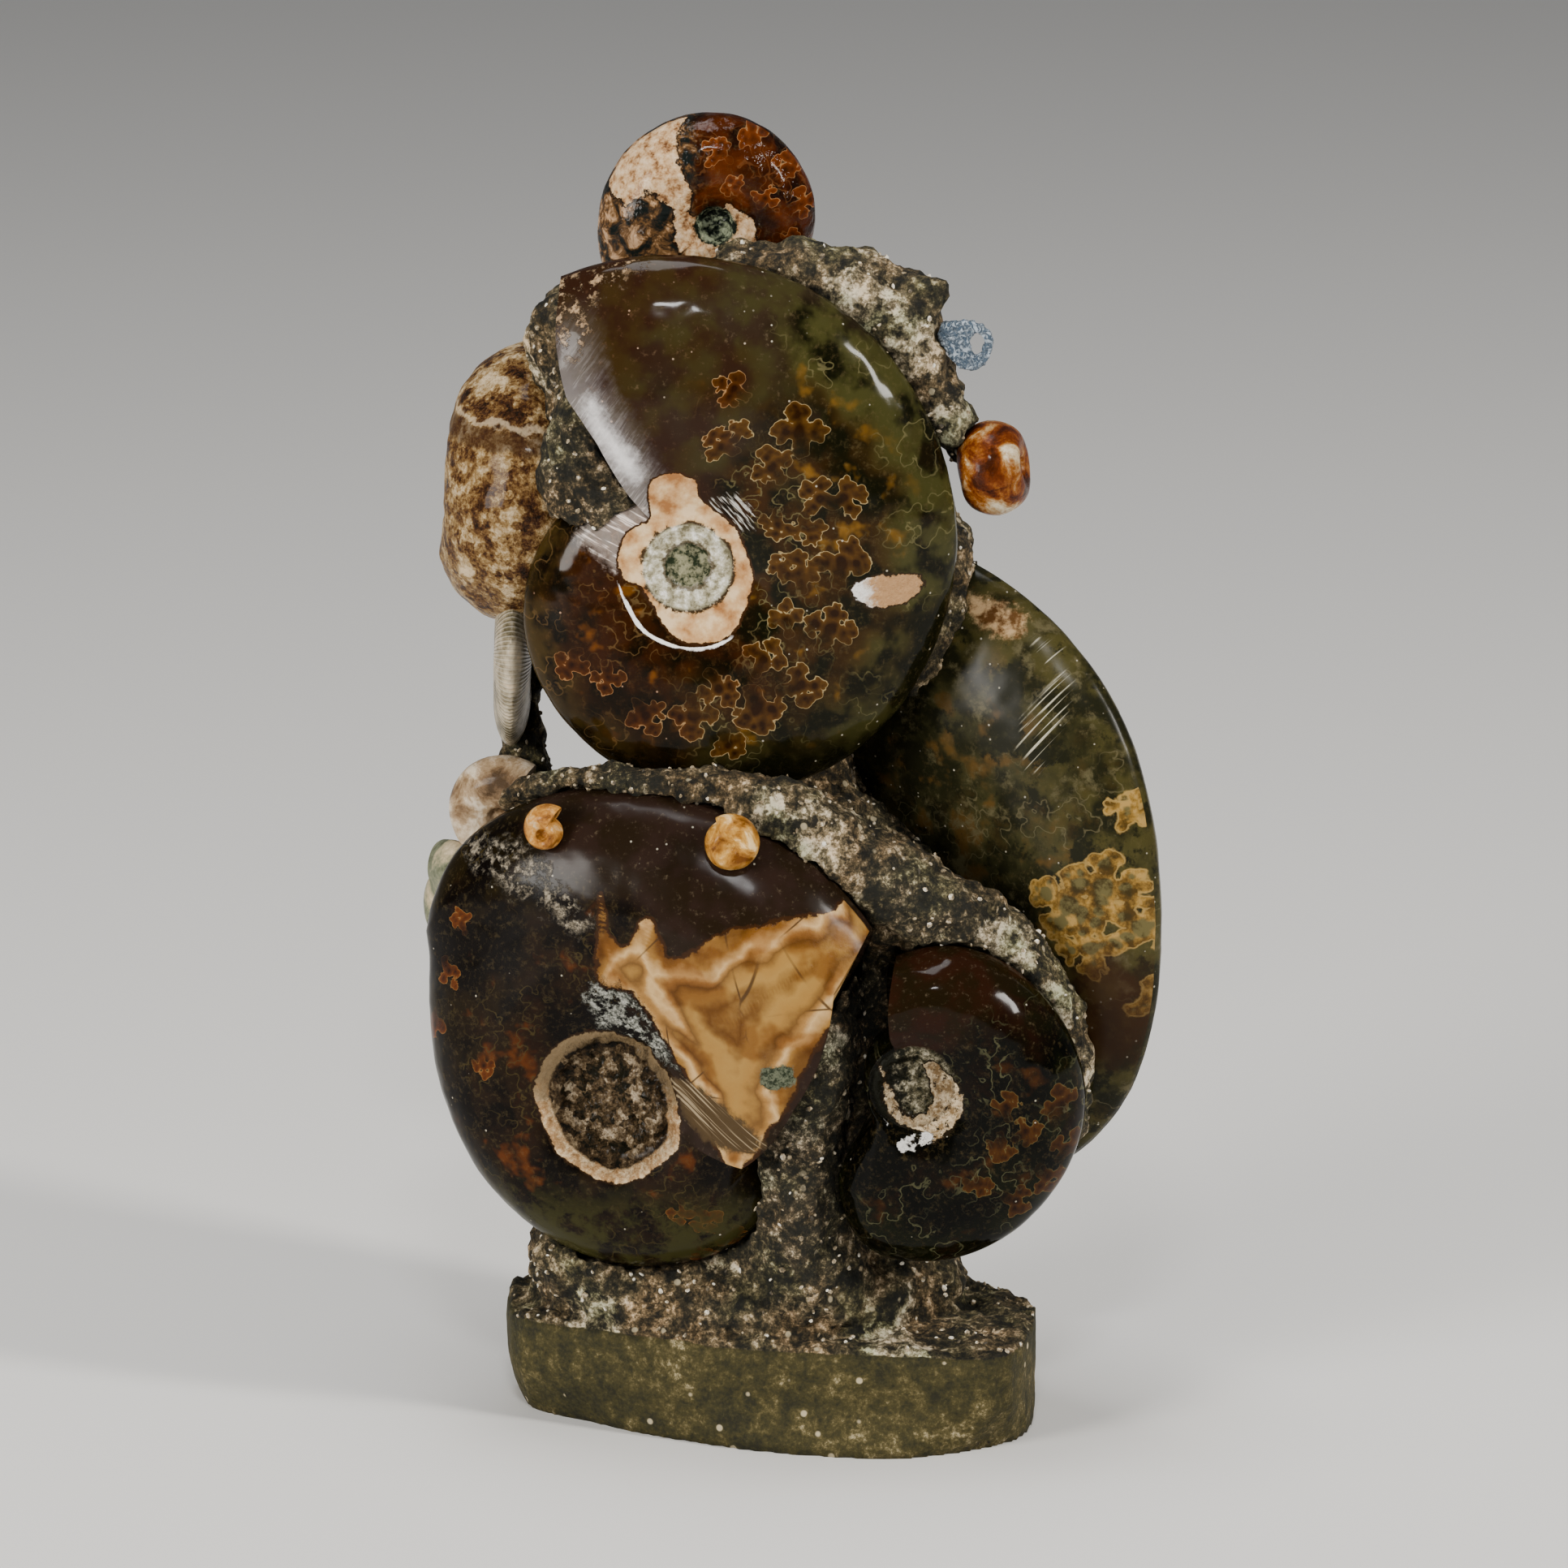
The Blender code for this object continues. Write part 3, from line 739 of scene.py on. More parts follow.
def lobe_discs(rng):
    """The discs that make up one lobe of length 1 that points along X: a stem and three frilled heads."""
    discs = [(-0.36, 0.0, 0.16), (-0.18, 0.0, 0.18), (0.0, 0.0, 0.22)]
    for heading, reach in ((80, 0.27), (0, 0.30), (-80, 0.27)):
        heading = math.radians(heading + rng.uniform(-18, 18))
        x, y = reach * math.cos(heading), reach * math.sin(heading)
        discs.append((x, y, 0.17))
        for spread in (-65, 0, 65):
            way = heading + math.radians(spread + rng.uniform(-14, 14))
            discs.append(
                (x + 0.15 * math.cos(way), y + 0.15 * math.sin(way), 0.11 * rng.uniform(0.8, 1.25))
            )
    return discs


def lobe_depth(points, lobes, seed):
    """How deep inside a lobe each point lies, in millimetres, and 0 to 1 from a lobe's stem to its tips."""
    rng = np.random.default_rng(seed)
    depth = np.full(len(points), FAR_OUTSIDE)
    tip = np.zeros(len(points))
    for x, y, length, pointing in lobes:
        discs = lobe_discs(rng)
        away = points - (x, y)
        near = np.flatnonzero((np.abs(away) < 1.2 * length).all(axis=1))
        turned = math.radians(pointing)
        ahead = (away[near] @ (math.cos(turned), math.sin(turned))) / length
        aside = (away[near] @ (-math.sin(turned), math.cos(turned))) / length
        for u, v, radius in discs:
            inside = (radius - np.hypot(ahead - u, aside - v)) * length
            better = inside > depth[near]
            depth[near[better]] = inside[better]
            tip[near[better]] = np.clip((ahead[better] + 0.35) / 0.4, 0, 1)
    return depth, tip


def paint_markings(mesh, shell, points):
    """Paints the sutures on both flanks, and the patches on the front one."""
    front = points[:, 2] > 0
    disc = points[:, :2]
    seed = len(shell.name) + round(shell.centre[2])
    if shell.name in LOBES:
        faint, _ = lobe_depth(disc, scattered_lobes(shell, seed), seed)
        paint(mesh, "faint", faint)
        depth, tip = lobe_depth(disc, LOBES[shell.name], seed + 1)
        paint(mesh, "lobe", np.where(front, depth, FAR_OUTSIDE))
        paint(mesh, "tip", tip)
    for name, outline in PATCHES.get(shell.name, {}).items():
        paint(mesh, name, np.where(front, signed_distance(disc, outline), FAR_OUTSIDE))


def place_in_scene(name, mesh):
    thing = bpy.data.objects.new(name, mesh)
    bpy.context.scene.collection.objects.link(thing)
    return thing


def rounded(outline, steps=4):
    """A closed outline with its corners rounded off by a curve through its points."""
    corners = np.asarray(outline + outline[:3], float)
    place = (1 + np.arange(len(outline) * steps) / steps) / (len(corners) - 1)
    return np.stack([spline(corners[:, 0], place), spline(corners[:, 1], place)], -1)


def signed_distance(points, outline):
    """How far inside (above 0) or outside (below 0) a closed outline each point lies."""
    outline = rounded(outline)
    starts, ends = outline, np.roll(outline, -1, axis=0)
    nearest = np.full(len(points), 1e9)
    inside = np.zeros(len(points), bool)
    for a, b in zip(starts, ends):
        edge = b - a
        t = np.clip(((points - a) @ edge) / (edge @ edge), 0, 1)
        nearest = np.minimum(nearest, np.linalg.norm(points - a - t[:, None] * edge, axis=1))
        crosses = (a[1] > points[:, 1]) != (b[1] > points[:, 1])
        height = np.where(b[1] == a[1], 1e-9, b[1] - a[1])
        inside ^= crosses & (points[:, 0] < (b[0] - a[0]) * (points[:, 1] - a[1]) / height + a[0])
    return np.where(inside, nearest, -nearest)


def polish(g, roughness=0.10, blur=0.11, coat=0.08):
    """What every polished shell shares: a thin glassy coat, smudges and hairline scratches."""
    g.finish(Coat_Weight=coat, Coat_Roughness=blur, Specular_IOR_Level=0.05)
    spot = g.where()
    stretched = g.add(
        "Mapping", inputs={"Vector": spot, "Rotation": (0.2, 0.7, 0.3), "Scale": (0.25, 5.0, 2.5)}
    )
    scratches = g.fade(g.cloud(stretched, 1.6, 3.0, 0.7), 0.60, 0.75)
    smudges = g.about_zero(g.cloud(spot, 7.0, 3.0, 0.6), 0.12)
    gloss = g.math("ADD", smudges + roughness, scratches * 0.12, clamp=True)
    return spot, gloss


@dataclass
class Flank:
    """The colours of a sutured shell."""

    outer: tuple = (0.036, 0.034, 0.009)
    inner: tuple = (0.026, 0.011, 0.002)
    shade: tuple = (0.004, 0.004, 0.001)
    glow: tuple = (0.17, 0.080, 0.009)
    glow_from: float = 0.60
    chamber: tuple = (0.022, 0.013, 0.007)
    chamber_end: float = 0.9
    lobe_dark: tuple = (0.014, 0.005, 0.001)
    lobe_warm: tuple = (0.070, 0.031, 0.005)
    edge: tuple = (0.33, 0.25, 0.12)
    line: tuple = (0.14, 0.12, 0.05)
    line_share: float = 0.5
    # painted shade: between these two heights on the disc, in millimetres, the flank darkens toward the
    # bottom
    low: tuple = (-16.0, -46.0)


def scalloped(g, painted, plane):
    """A painted lobe's depth with small round scallops cut into its edge."""
    frill = g.cells(plane, 1.9, dimensions="2D")
    return painted + 0.36 + frill * -0.95


def halfway(first, second):
    return tuple((a + b) / 2 for a, b in zip(first, second))


def sutured(g, flank, spot):
    """The colour of a polished flank: a clouded field, faint suture lines, brown lobes edged in gold."""
    along, across, plane = g.painted("along"), g.painted("across"), g.painted("plane", 1)
    broad = g.cloud(spot, 17.0, 3.0, 0.5)
    middle = g.cloud(spot, 6.5, 3.0, 0.5)
    fine = g.cloud(spot, 1.2, 5.0, 0.75)

    toward_hub = g.fade(g.uneven(across, broad, 0.9), 0.95, 0.45)
    field = g.mix(toward_hub, flank.outer, flank.inner)
    field = g.mix(g.fade(middle, 0.56, 0.38), field, flank.shade)
    field = g.mix(g.fade(broad, 0.50, 0.36), field, flank.shade)
    glow = g.fade(middle, flank.glow_from, flank.glow_from + 0.12) * g.fade(across, 0.95, 0.6)
    field = g.mix(glow * 0.8, field, flank.glow)
    field = g.mix(g.fade(fine, 0.50, 0.72), field, g.mix(0.2, field, (0.14, 0.10, 0.04)))

    past_chamber = g.fade(g.uneven(along, broad, 0.9), flank.chamber_end - 0.2, flank.chamber_end + 0.3)
    chamber = g.mix(g.fade(middle, 0.4, 0.62), flank.chamber, g.mix(0.6, flank.chamber, flank.outer))
    chamber = g.mix(g.fade(fine, 0.55, 0.8), chamber, g.mix(0.4, chamber, (0.20, 0.15, 0.09)))
    colour = g.mix(past_chamber, chamber, field)
    # painted shade: the flank darkens toward the bottom of the disc
    low = g.fade(g.uneven(g.upward(), broad, 16.0), *flank.low)
    colour = g.mix(low * 0.75, colour, flank.shade)

    faint = scalloped(g, g.painted("faint"), plane)
    line = g.fade(faint, -0.06, 0.02) * g.fade(faint, 0.26, 0.10)
    seen = g.fade(broad, 0.40, 0.58) * (past_chamber * flank.line_share)
    colour = g.mix(g.fade(faint, 0.2, 1.0) * (seen * 0.45), colour, flank.lobe_dark)
    colour = g.mix(line * seen, colour, flank.line)

    lobe, tip = scalloped(g, g.painted("lobe"), plane), g.painted("tip")
    tone = g.colours(
        lobe * 0.4, (0.0, flank.edge), (0.02, flank.edge), (0.06, flank.lobe_warm),
        (0.22, halfway(flank.lobe_warm, flank.lobe_dark)), (0.46, flank.lobe_dark),
    )
    inside = g.fade(lobe, -0.04, 0.06) * (tip * 0.9 + 0.1)
    return g.mix(inside, colour, tone)


def dots(g, spot, size, share, outer, inner):
    """Round dots, 0 to 1, in a share of the cells of a size; outer and inner bound each dot's soft edge."""
    chosen = g.add("SeparateColor", inputs={0: g.cells(spot, size, output=1)})
    return g.fade(g.cells(spot, size), outer, inner) * g.fade(chosen, 1 - share, 1 - share + 0.02)


def specks(g, spot, colour, share=0.10):
    """Tiny pale crystals scattered in the polish."""
    return g.mix(dots(g, spot, SPECK_SIZE, share, 0.16, 0.08), colour, SPECK_COLOUR)


def scratch_lines(g, turned, size=0.5):
    """Fine parallel lines, 0 to 1, turned by an angle in degrees on the disc."""
    plane = g.painted("plane", 1)
    lined = g.stretched(plane, turned, 11.0)
    return g.fade(g.cloud(lined, size, 3.0, 0.6), 0.50, 0.60)


def straight_scratches(g, turned, spacing):
    """Straight parallel scratches with gaps, 0 to 1, turned by an angle in degrees on the disc."""
    plane = g.painted("plane", 1)
    lined = g.stretched(plane, turned, 40.0)
    fine = g.fade(g.cloud(lined, spacing, 1.0, 0.5), 0.55, 0.62)
    return fine * g.fade(g.cloud(g.stretched(plane, turned, 22.0), 1.2, 1.0, 0.5), 0.42, 0.50)


def band_between(g, value, low, high, soft):
    return g.fade(value, low - soft, low + soft) * g.fade(value, high + soft, high - soft)


def finish_upper_front():
    g = Graph("polished olive shell with golden sutures")
    spot, gloss = polish(g)
    colour = sutured(g, Flank(), spot)
    colour = specks(g, spot, colour)
    grain = g.cloud(spot, 0.8, 6.0, 0.75)
    coarse = g.cloud(spot, 2.0, 5.0, 0.7)
    sides = g.sideways()
    brown_side = g.fade(g.uneven(sides, g.cloud(spot, 12.0, 3.0, 0.5), 30.0), 14.0, -10.0)
    colour = g.mix(brown_side, colour, g.tinted(colour, (0.86, 0.56, 0.46)))
    corner = g.patch("corner", spot, 1.5, 4.0, 3.0) * g.fade(coarse, 0.50, 0.58)
    colour = g.mix(corner, colour, g.mix(grain, (0.08, 0.04, 0.015), (0.62, 0.42, 0.24)))
    # painted reflection: a pale grey sheen, crossed by fine scratches, along the mouth edge, and a white
    # painted highlight at its lower end
    reach = g.add("VectorMath", output=1, inputs={0: g.painted("plane", 1)}, operation="LENGTH")
    from_mouth = g.uneven(g.painted("along") * reach, coarse, 3.0)
    rubbed = g.fade(from_mouth, 11.0, 0.0) * g.fade(g.painted("across"), 0.95, 0.55)
    rubbed = rubbed * (scratch_lines(g, 55, 0.6) * 0.22 + 0.26)
    colour = g.mix(rubbed, colour, (0.50, 0.47, 0.46))
    colour = g.mix(g.patch("rubbed", spot, 2.2, 2.0) * 0.75, colour, (0.82, 0.80, 0.80))
    scraped = g.patch("scraped", spot, 1.4, 2.5)
    streaks = scratch_lines(g, -28, 0.8) * 0.7 + 0.25
    colour = g.mix(scraped * streaks, colour, g.mix(coarse, (0.50, 0.34, 0.26), (0.90, 0.86, 0.80)))
    frosted = g.patch("frosted", spot, 0.5, 2.0) * scratch_lines(g, -50, 0.5)
    colour = g.mix(frosted, colour, (0.46, 0.44, 0.40))
    chip = g.patch("chip", spot, 0.12, 1.2)
    colour = g.mix(g.patch("chip", spot, 0.12, 1.2, grow=0.35), colour, (0.02, 0.012, 0.005))
    chalk = g.fade(g.uneven(sides, coarse, 5.0), 34.5, 31.0)
    colour = g.mix(
        chip, colour, g.mix(chalk, g.mix(grain, (0.28, 0.13, 0.05), (0.54, 0.34, 0.17)), (0.80, 0.78, 0.74))
    )

    colour = g.mix(g.patch("cream", spot, 0.10, 0.9, grow=0.45), colour, (0.030, 0.012, 0.004))
    cream = g.patch("cream", spot, 0.08, 0.9)
    skin = g.colours(
        g.cloud(spot, 4.0, 4.0, 0.6), (0.36, (0.28, 0.12, 0.04)), (0.46, (0.44, 0.24, 0.10)),
        (0.56, (0.55, 0.35, 0.17)), (0.66, (0.66, 0.48, 0.28)),
    )
    colour = g.mix(cream, colour, skin)
    colour = g.mix(g.patch("crescent", spot, 0.08, 0.25), colour, (0.88, 0.84, 0.80))
    inward = g.uneven(g.painted("inward"), coarse, 0.12)
    calcite = g.colours(
        coarse, (0.36, (0.13, 0.115, 0.065)), (0.45, (0.32, 0.29, 0.19)), (0.54, (0.54, 0.51, 0.39)),
        (0.64, (0.86, 0.84, 0.77)),
    )
    core = g.mix(g.fade(coarse, 0.40, 0.60), (0.014, 0.022, 0.009), (0.26, 0.25, 0.15))
    gap = band_between(g, inward, 0.74, 0.81, 0.02) * g.fade(coarse, 0.56, 0.44)
    inner_gap = band_between(g, inward, 0.38, 0.44, 0.02) * 0.7
    colour = g.mix(g.fade(inward, 0.80, 0.76), colour, calcite)
    colour = g.mix(g.fade(inward, 0.42, 0.36), colour, core)
    colour = g.mix(g.most(gap, inner_gap), colour, (0.045, 0.025, 0.010))
    matt = g.fade(inward, 0.80, 0.70)
    rough = g.most(matt * 0.45, g.most(corner, cream * 0.25))
    return g.finish(
        Base_Color=colour, Roughness=g.most(gloss, rough * 0.8),
        Normal=g.dents(coarse * g.most(matt, g.most(corner, chip)), 1.2),
    )


def finish_lower_left():
    g = Graph("dark polished shell with caramel mother of pearl")
    spot, gloss = polish(g, 0.2, blur=0.2)
    flank = Flank(
        outer=(0.008, 0.005, 0.001), inner=(0.010, 0.005, 0.002), shade=(0.002, 0.001, 0.0005),
        glow=(0.085, 0.022, 0.003), chamber=(0.017, 0.009, 0.006), chamber_end=1.25,
        lobe_dark=(0.012, 0.003, 0.001), lobe_warm=(0.085, 0.022, 0.003), edge=(0.17, 0.08, 0.02),
        line=(0.045, 0.032, 0.010), line_share=0.7,
    )
    colour = sutured(g, flank, spot)
    height = g.upward()
    broad = g.cloud(spot, 8.0, 5.0, 0.65)
    green = g.fade(g.uneven(height, broad, 12.0), -14.0, -26.0) * g.fade(broad, 0.42, 0.56)
    colour = g.mix(green, colour, (0.026, 0.024, 0.006))
    colour = specks(g, spot, colour, share=0.06)
    grain = g.cloud(spot, 0.8, 6.0, 0.75)
    coarse = g.cloud(spot, 2.4, 5.0, 0.7)
    tone = grain * 0.4 + coarse * 0.6
    rubble = g.colours(
        tone * 0.86 + g.chunks(spot, 2.0) * 0.14, (0.42, (0.008, 0.007, 0.003)),
        (0.49, (0.050, 0.031, 0.014)), (0.55, (0.14, 0.095, 0.050)), (0.63, (0.50, 0.40, 0.27)),
    )
    frosted = g.patch("frosted", spot, 1.0, 3.0) * g.fade(coarse, 0.44, 0.52)
    colour = g.mix(
        frosted, colour, g.mix(g.fade(grain, 0.35, 0.65), (0.012, 0.016, 0.010), (0.46, 0.46, 0.40))
    )
    crust = g.patch("crust", spot, 1.5, 5.0, 4.0) * g.fade(coarse, 0.46, 0.56)
    colour = g.mix(crust, colour, g.mix(g.fade(grain, 0.35, 0.65), (0.05, 0.04, 0.025), (0.40, 0.34, 0.25)))

    inside = g.uneven(g.painted("pearl"), g.cloud(spot, 3.0, 4.0, 0.6), 1.6)
    swirl = g.cloud(spot, 15.0, 2.0, 0.4, 0.8)
    flow = inside * 0.045 + (g.about_zero(swirl, 0.42) + 0.20)
    pearl = g.colours(
        flow, (0.10, (0.11, 0.048, 0.010)), (0.20, (0.24, 0.12, 0.028)), (0.30, (0.52, 0.34, 0.15)),
        (0.36, (0.30, 0.155, 0.045)), (0.43, (0.13, 0.062, 0.016)), (0.52, (0.28, 0.15, 0.038)),
        (0.62, (0.30, 0.17, 0.046)), (0.72, (0.15, 0.072, 0.017)), (0.84, (0.32, 0.19, 0.055)),
    )
    shaded = g.tinted(pearl, (0.60, 0.48, 0.36))
    pearl = g.mix(g.fade(g.cloud(spot, 8.0, 3.0, 0.5), 0.54, 0.40), pearl, shaded)
    cracks = g.fade(g.cells(spot, 17.0, feature="DISTANCE_TO_EDGE"), 0.014, 0.004)
    cracks = cracks * g.fade(g.cloud(spot, 14.0, 2.0, 0.5), 0.46, 0.56)
    pearl = g.mix(cracks * 0.9, pearl, (0.05, 0.025, 0.01))
    colour = g.mix(g.fade(inside, -0.75, -0.35), colour, (0.030, 0.012, 0.004))
    colour = g.mix(g.fade(inside, -0.15, 0.15), colour, pearl)
    colour = g.mix(
        g.patch("stain", spot, 0.3, 1.6), colour,
        g.mix(g.fade(grain, 0.4, 0.6), (0.014, 0.020, 0.010), (0.10, 0.11, 0.07)),
    )
    # here only real wear: a scraped patch and its scratches
    rubbed = g.patch("scraped", spot, 0.8, 2.0)
    colour = g.mix(rubbed, colour, (0.055, 0.034, 0.014))
    colour = g.mix(rubbed * straight_scratches(g, -35, 0.5), colour, (0.26, 0.20, 0.12))

    hub = g.uneven(g.painted("hub_edge"), coarse, 1.0)
    lit_side = g.uneven(height, coarse, 7.0)
    cream = g.colours(
        tone, (0.38, (0.16, 0.08, 0.03)), (0.48, (0.34, 0.21, 0.10)), (0.58, (0.60, 0.45, 0.27))
    )
    ring = g.mix(g.fade(lit_side, 2.0, -6.0), g.mix(tone, (0.05, 0.03, 0.012), (0.24, 0.17, 0.09)), cream)
    colour = g.mix(g.fade(hub, -0.5, -0.2), colour, (0.020, 0.010, 0.004))
    colour = g.mix(g.fade(hub, -0.1, 0.1), colour, ring)
    # painted shade: the rubble darkens toward the rim of the deep hub, where its bowl would shade it
    rubble = g.mix(g.fade(hub, 7.0, 2.4), rubble, g.tinted(rubble, (0.30, 0.26, 0.20)))
    colour = g.mix(g.fade(hub, 2.2, 2.8), colour, rubble)
    matt = g.most(g.fade(hub, 0.0, 3.0), g.most(crust, frosted))
    return g.finish(
        Base_Color=colour, Roughness=g.most(gloss, matt * 0.5),
        Normal=g.dents(coarse * (matt + g.fade(inside, -0.1, 0.2) * 0.15), 2.2),
    )


def finish_lower_right():
    g = Graph("near black polished shell")
    spot, gloss = polish(g, 0.08, coat=0.06)
    flank = Flank(
        outer=(0.004, 0.005, 0.001), inner=(0.002, 0.002, 0.001), shade=(0.001, 0.001, 0.0005),
        glow=(0.040, 0.013, 0.002), chamber=(0.015, 0.005, 0.002), chamber_end=1.0,
        lobe_dark=(0.010, 0.003, 0.001), lobe_warm=(0.050, 0.018, 0.003), edge=(0.10, 0.070, 0.022),
        line=(0.060, 0.058, 0.028), line_share=0.9,
    )
    colour = sutured(g, flank, spot)
    colour = specks(g, spot, colour, share=0.08)
    coarse = g.cloud(spot, 2.0, 5.0, 0.7)
    grain = g.cloud(spot, 0.8, 5.0, 0.75)
    inward = g.uneven(g.painted("inward"), coarse, 0.16)
    tone = grain * 0.4 + coarse * 0.6
    rubble = g.colours(
        tone, (0.42, (0.010, 0.010, 0.005)), (0.50, (0.075, 0.065, 0.036)), (0.60, (0.38, 0.34, 0.24))
    )
    sides = g.sideways()
    rubble = g.mix(g.fade(g.uneven(sides, coarse, 8.0), 0.5, -3.5), rubble, (0.006, 0.006, 0.003))
    colour = g.mix(g.fade(inward, 1.00, 0.92), colour, rubble)
    ring = g.mix(g.fade(coarse, 0.38, 0.60), (0.16, 0.10, 0.045), (0.52, 0.41, 0.26))
    colour = g.mix(g.patch("cream", spot, 0.1, 1.4, grow=0.4), colour, (0.012, 0.008, 0.004))
    cream = g.patch("cream", spot, 0.1, 1.4) * g.fade(grain, 0.38, 0.46)
    colour = g.mix(cream, colour, ring)
    chip = g.patch("chip", spot, 0.1, 1.6) * g.fade(coarse, 0.40, 0.46)
    colour = g.mix(chip, colour, (0.72, 0.70, 0.66))
    matt = g.most(g.fade(inward, 0.98, 0.85), chip)
    return g.finish(
        Base_Color=colour, Roughness=g.most(gloss, matt * 0.5), Normal=g.dents(coarse * matt, 2.0)
    )


def finish_right():
    g = Graph("polished green shell with amber sutures")
    spot, gloss = polish(g, 0.24, 0.26)
    flank = Flank(
        outer=(0.044, 0.038, 0.011), inner=(0.030, 0.028, 0.010), shade=(0.010, 0.010, 0.004),
        glow=(0.085, 0.046, 0.011), glow_from=0.53, chamber=(0.060, 0.046, 0.018), chamber_end=0.4,
        lobe_dark=(0.050, 0.026, 0.005), lobe_warm=(0.18, 0.082, 0.012), edge=(0.42, 0.28, 0.09),
        line=(0.12, 0.10, 0.05), low=(-40.0, -66.0),
    )
    colour = sutured(g, flank, spot)
    mottles = g.cloud(spot, 6.0, 6.0, 0.7)
    colour = g.mix(g.fade(mottles, 0.54, 0.68), colour, (0.080, 0.068, 0.032))
    colour = g.mix(g.fade(mottles, 0.48, 0.38), colour, flank.shade)
    colour = specks(g, spot, colour, share=0.20)
    coarse = g.cloud(spot, 3.0, 5.0, 0.65)
    amber = g.colours(
        coarse, (0.38, (0.050, 0.028, 0.006)), (0.46, (0.11, 0.060, 0.012)), (0.54, (0.22, 0.125, 0.026)),
        (0.62, (0.32, 0.20, 0.060)),
    )
    olive = g.mix(g.fade(coarse, 0.40, 0.58), (0.032, 0.022, 0.006), (0.10, 0.082, 0.030))
    lobe = scalloped(g, g.painted("lobe"), g.painted("plane", 1))
    frilled = g.uneven(lobe, coarse, 0.5)
    colour = g.mix(g.fade(frilled, 0.6, 1.5), colour, olive)
    golden = band_between(g, frilled, 0.05, 1.2, 0.35)
    colour = g.mix(golden, colour, amber)
    colour = g.mix(band_between(g, frilled, -0.1, 0.25, 0.1) * golden, colour, (0.30, 0.20, 0.065))
    red = g.patch("red", spot, 4.0, 6.0, 5.0)
    colour = g.mix(red * 0.8, colour, (0.026, 0.010, 0.003))
    blotch = g.patch("blotch", spot, 1.0, 3.0)
    colour = g.mix(
        blotch * 0.8, colour, g.mix(g.fade(coarse, 0.4, 0.6), (0.10, 0.04, 0.010), (0.50, 0.33, 0.17))
    )
    scraped = g.patch("scraped", spot, 1.5, 3.0, 4.0) * straight_scratches(g, 52, 0.55)
    colour = g.mix(scraped, colour, (0.42, 0.39, 0.29))
    return g.finish(Base_Color=colour, Roughness=g.most(gloss, scraped * 0.5))


def finish_top():
    g = Graph("red brown polished shell with a peach patch")
    spot, gloss = polish(g, 0.07, 0.05)
    flank = Flank(
        outer=(0.048, 0.009, 0.001), inner=(0.030, 0.007, 0.001), shade=(0.006, 0.002, 0.001),
        glow=(0.075, 0.016, 0.002), glow_from=0.55, chamber=(0.024, 0.018, 0.010), chamber_end=0.3,
        lobe_dark=(0.020, 0.005, 0.001), lobe_warm=(0.11, 0.024, 0.003), edge=(0.26, 0.13, 0.05),
        line=(0.11, 0.040, 0.012), low=(-8.0, -20.0),
    )
    colour = sutured(g, flank, spot)
    coarse = g.cloud(spot, 1.8, 5.0, 0.7)
    sides = g.sideways()
    worn = g.colours(
        g.cloud(spot, 3.0, 5.0, 0.65, 0.6), (0.40, (0.006, 0.008, 0.007)), (0.47, (0.030, 0.018, 0.010)),
        (0.54, (0.11, 0.055, 0.020)), (0.64, (0.40, 0.25, 0.14)),
    )
    colour = g.mix(g.fade(g.uneven(sides, coarse, 3.0), -3.0, -5.0), colour, worn)
    colour = g.mix(g.patch("peach", spot, 0.15, 2.2, 2.4, grow=0.35), colour, (0.012, 0.006, 0.003))
    peach = g.patch("peach", spot, 0.15, 2.2, 2.4)
    skin = g.colours(
        coarse, (0.34, (0.11, 0.045, 0.016)), (0.42, (0.30, 0.16, 0.07)), (0.50, (0.48, 0.31, 0.16)),
        (0.64, (0.62, 0.46, 0.30)),
    )
    colour = g.mix(peach, colour, skin)
    inward = g.uneven(g.painted("inward"), coarse, 0.3)
    colour = g.mix(
        g.fade(inward, 0.80, 0.70), colour,
        g.mix(g.fade(coarse, 0.44, 0.62), (0.005, 0.008, 0.005), (0.22, 0.25, 0.16)),
    )
    ripple = g.cloud(spot, 3.2, 3.0, 0.5) * 0.7 + peach * (coarse * 0.5)
    return g.finish(Base_Color=colour, Roughness=gloss, Normal=g.dents(ripple, 1.3))


def mottled(name, stops, size, roughness, grain_share, gloss_base):
    """A worn shell whose colours run through each other."""
    g = Graph(name)
    spot, gloss = polish(g, gloss_base)
    clouds = g.cloud(spot, size, 6.0, 0.62, 0.6)
    grain = g.cloud(spot, 0.7, 4.0, 0.8)
    mixed = clouds * (1 - grain_share) + grain * grain_share
    colour = g.colours(mixed, *stops)
    return g.finish(
        Base_Color=colour, Roughness=gloss + g.fade(clouds, 0.4, 0.6) * roughness,
        Normal=g.dents(clouds * 2.5 + grain, 0.15),
    )


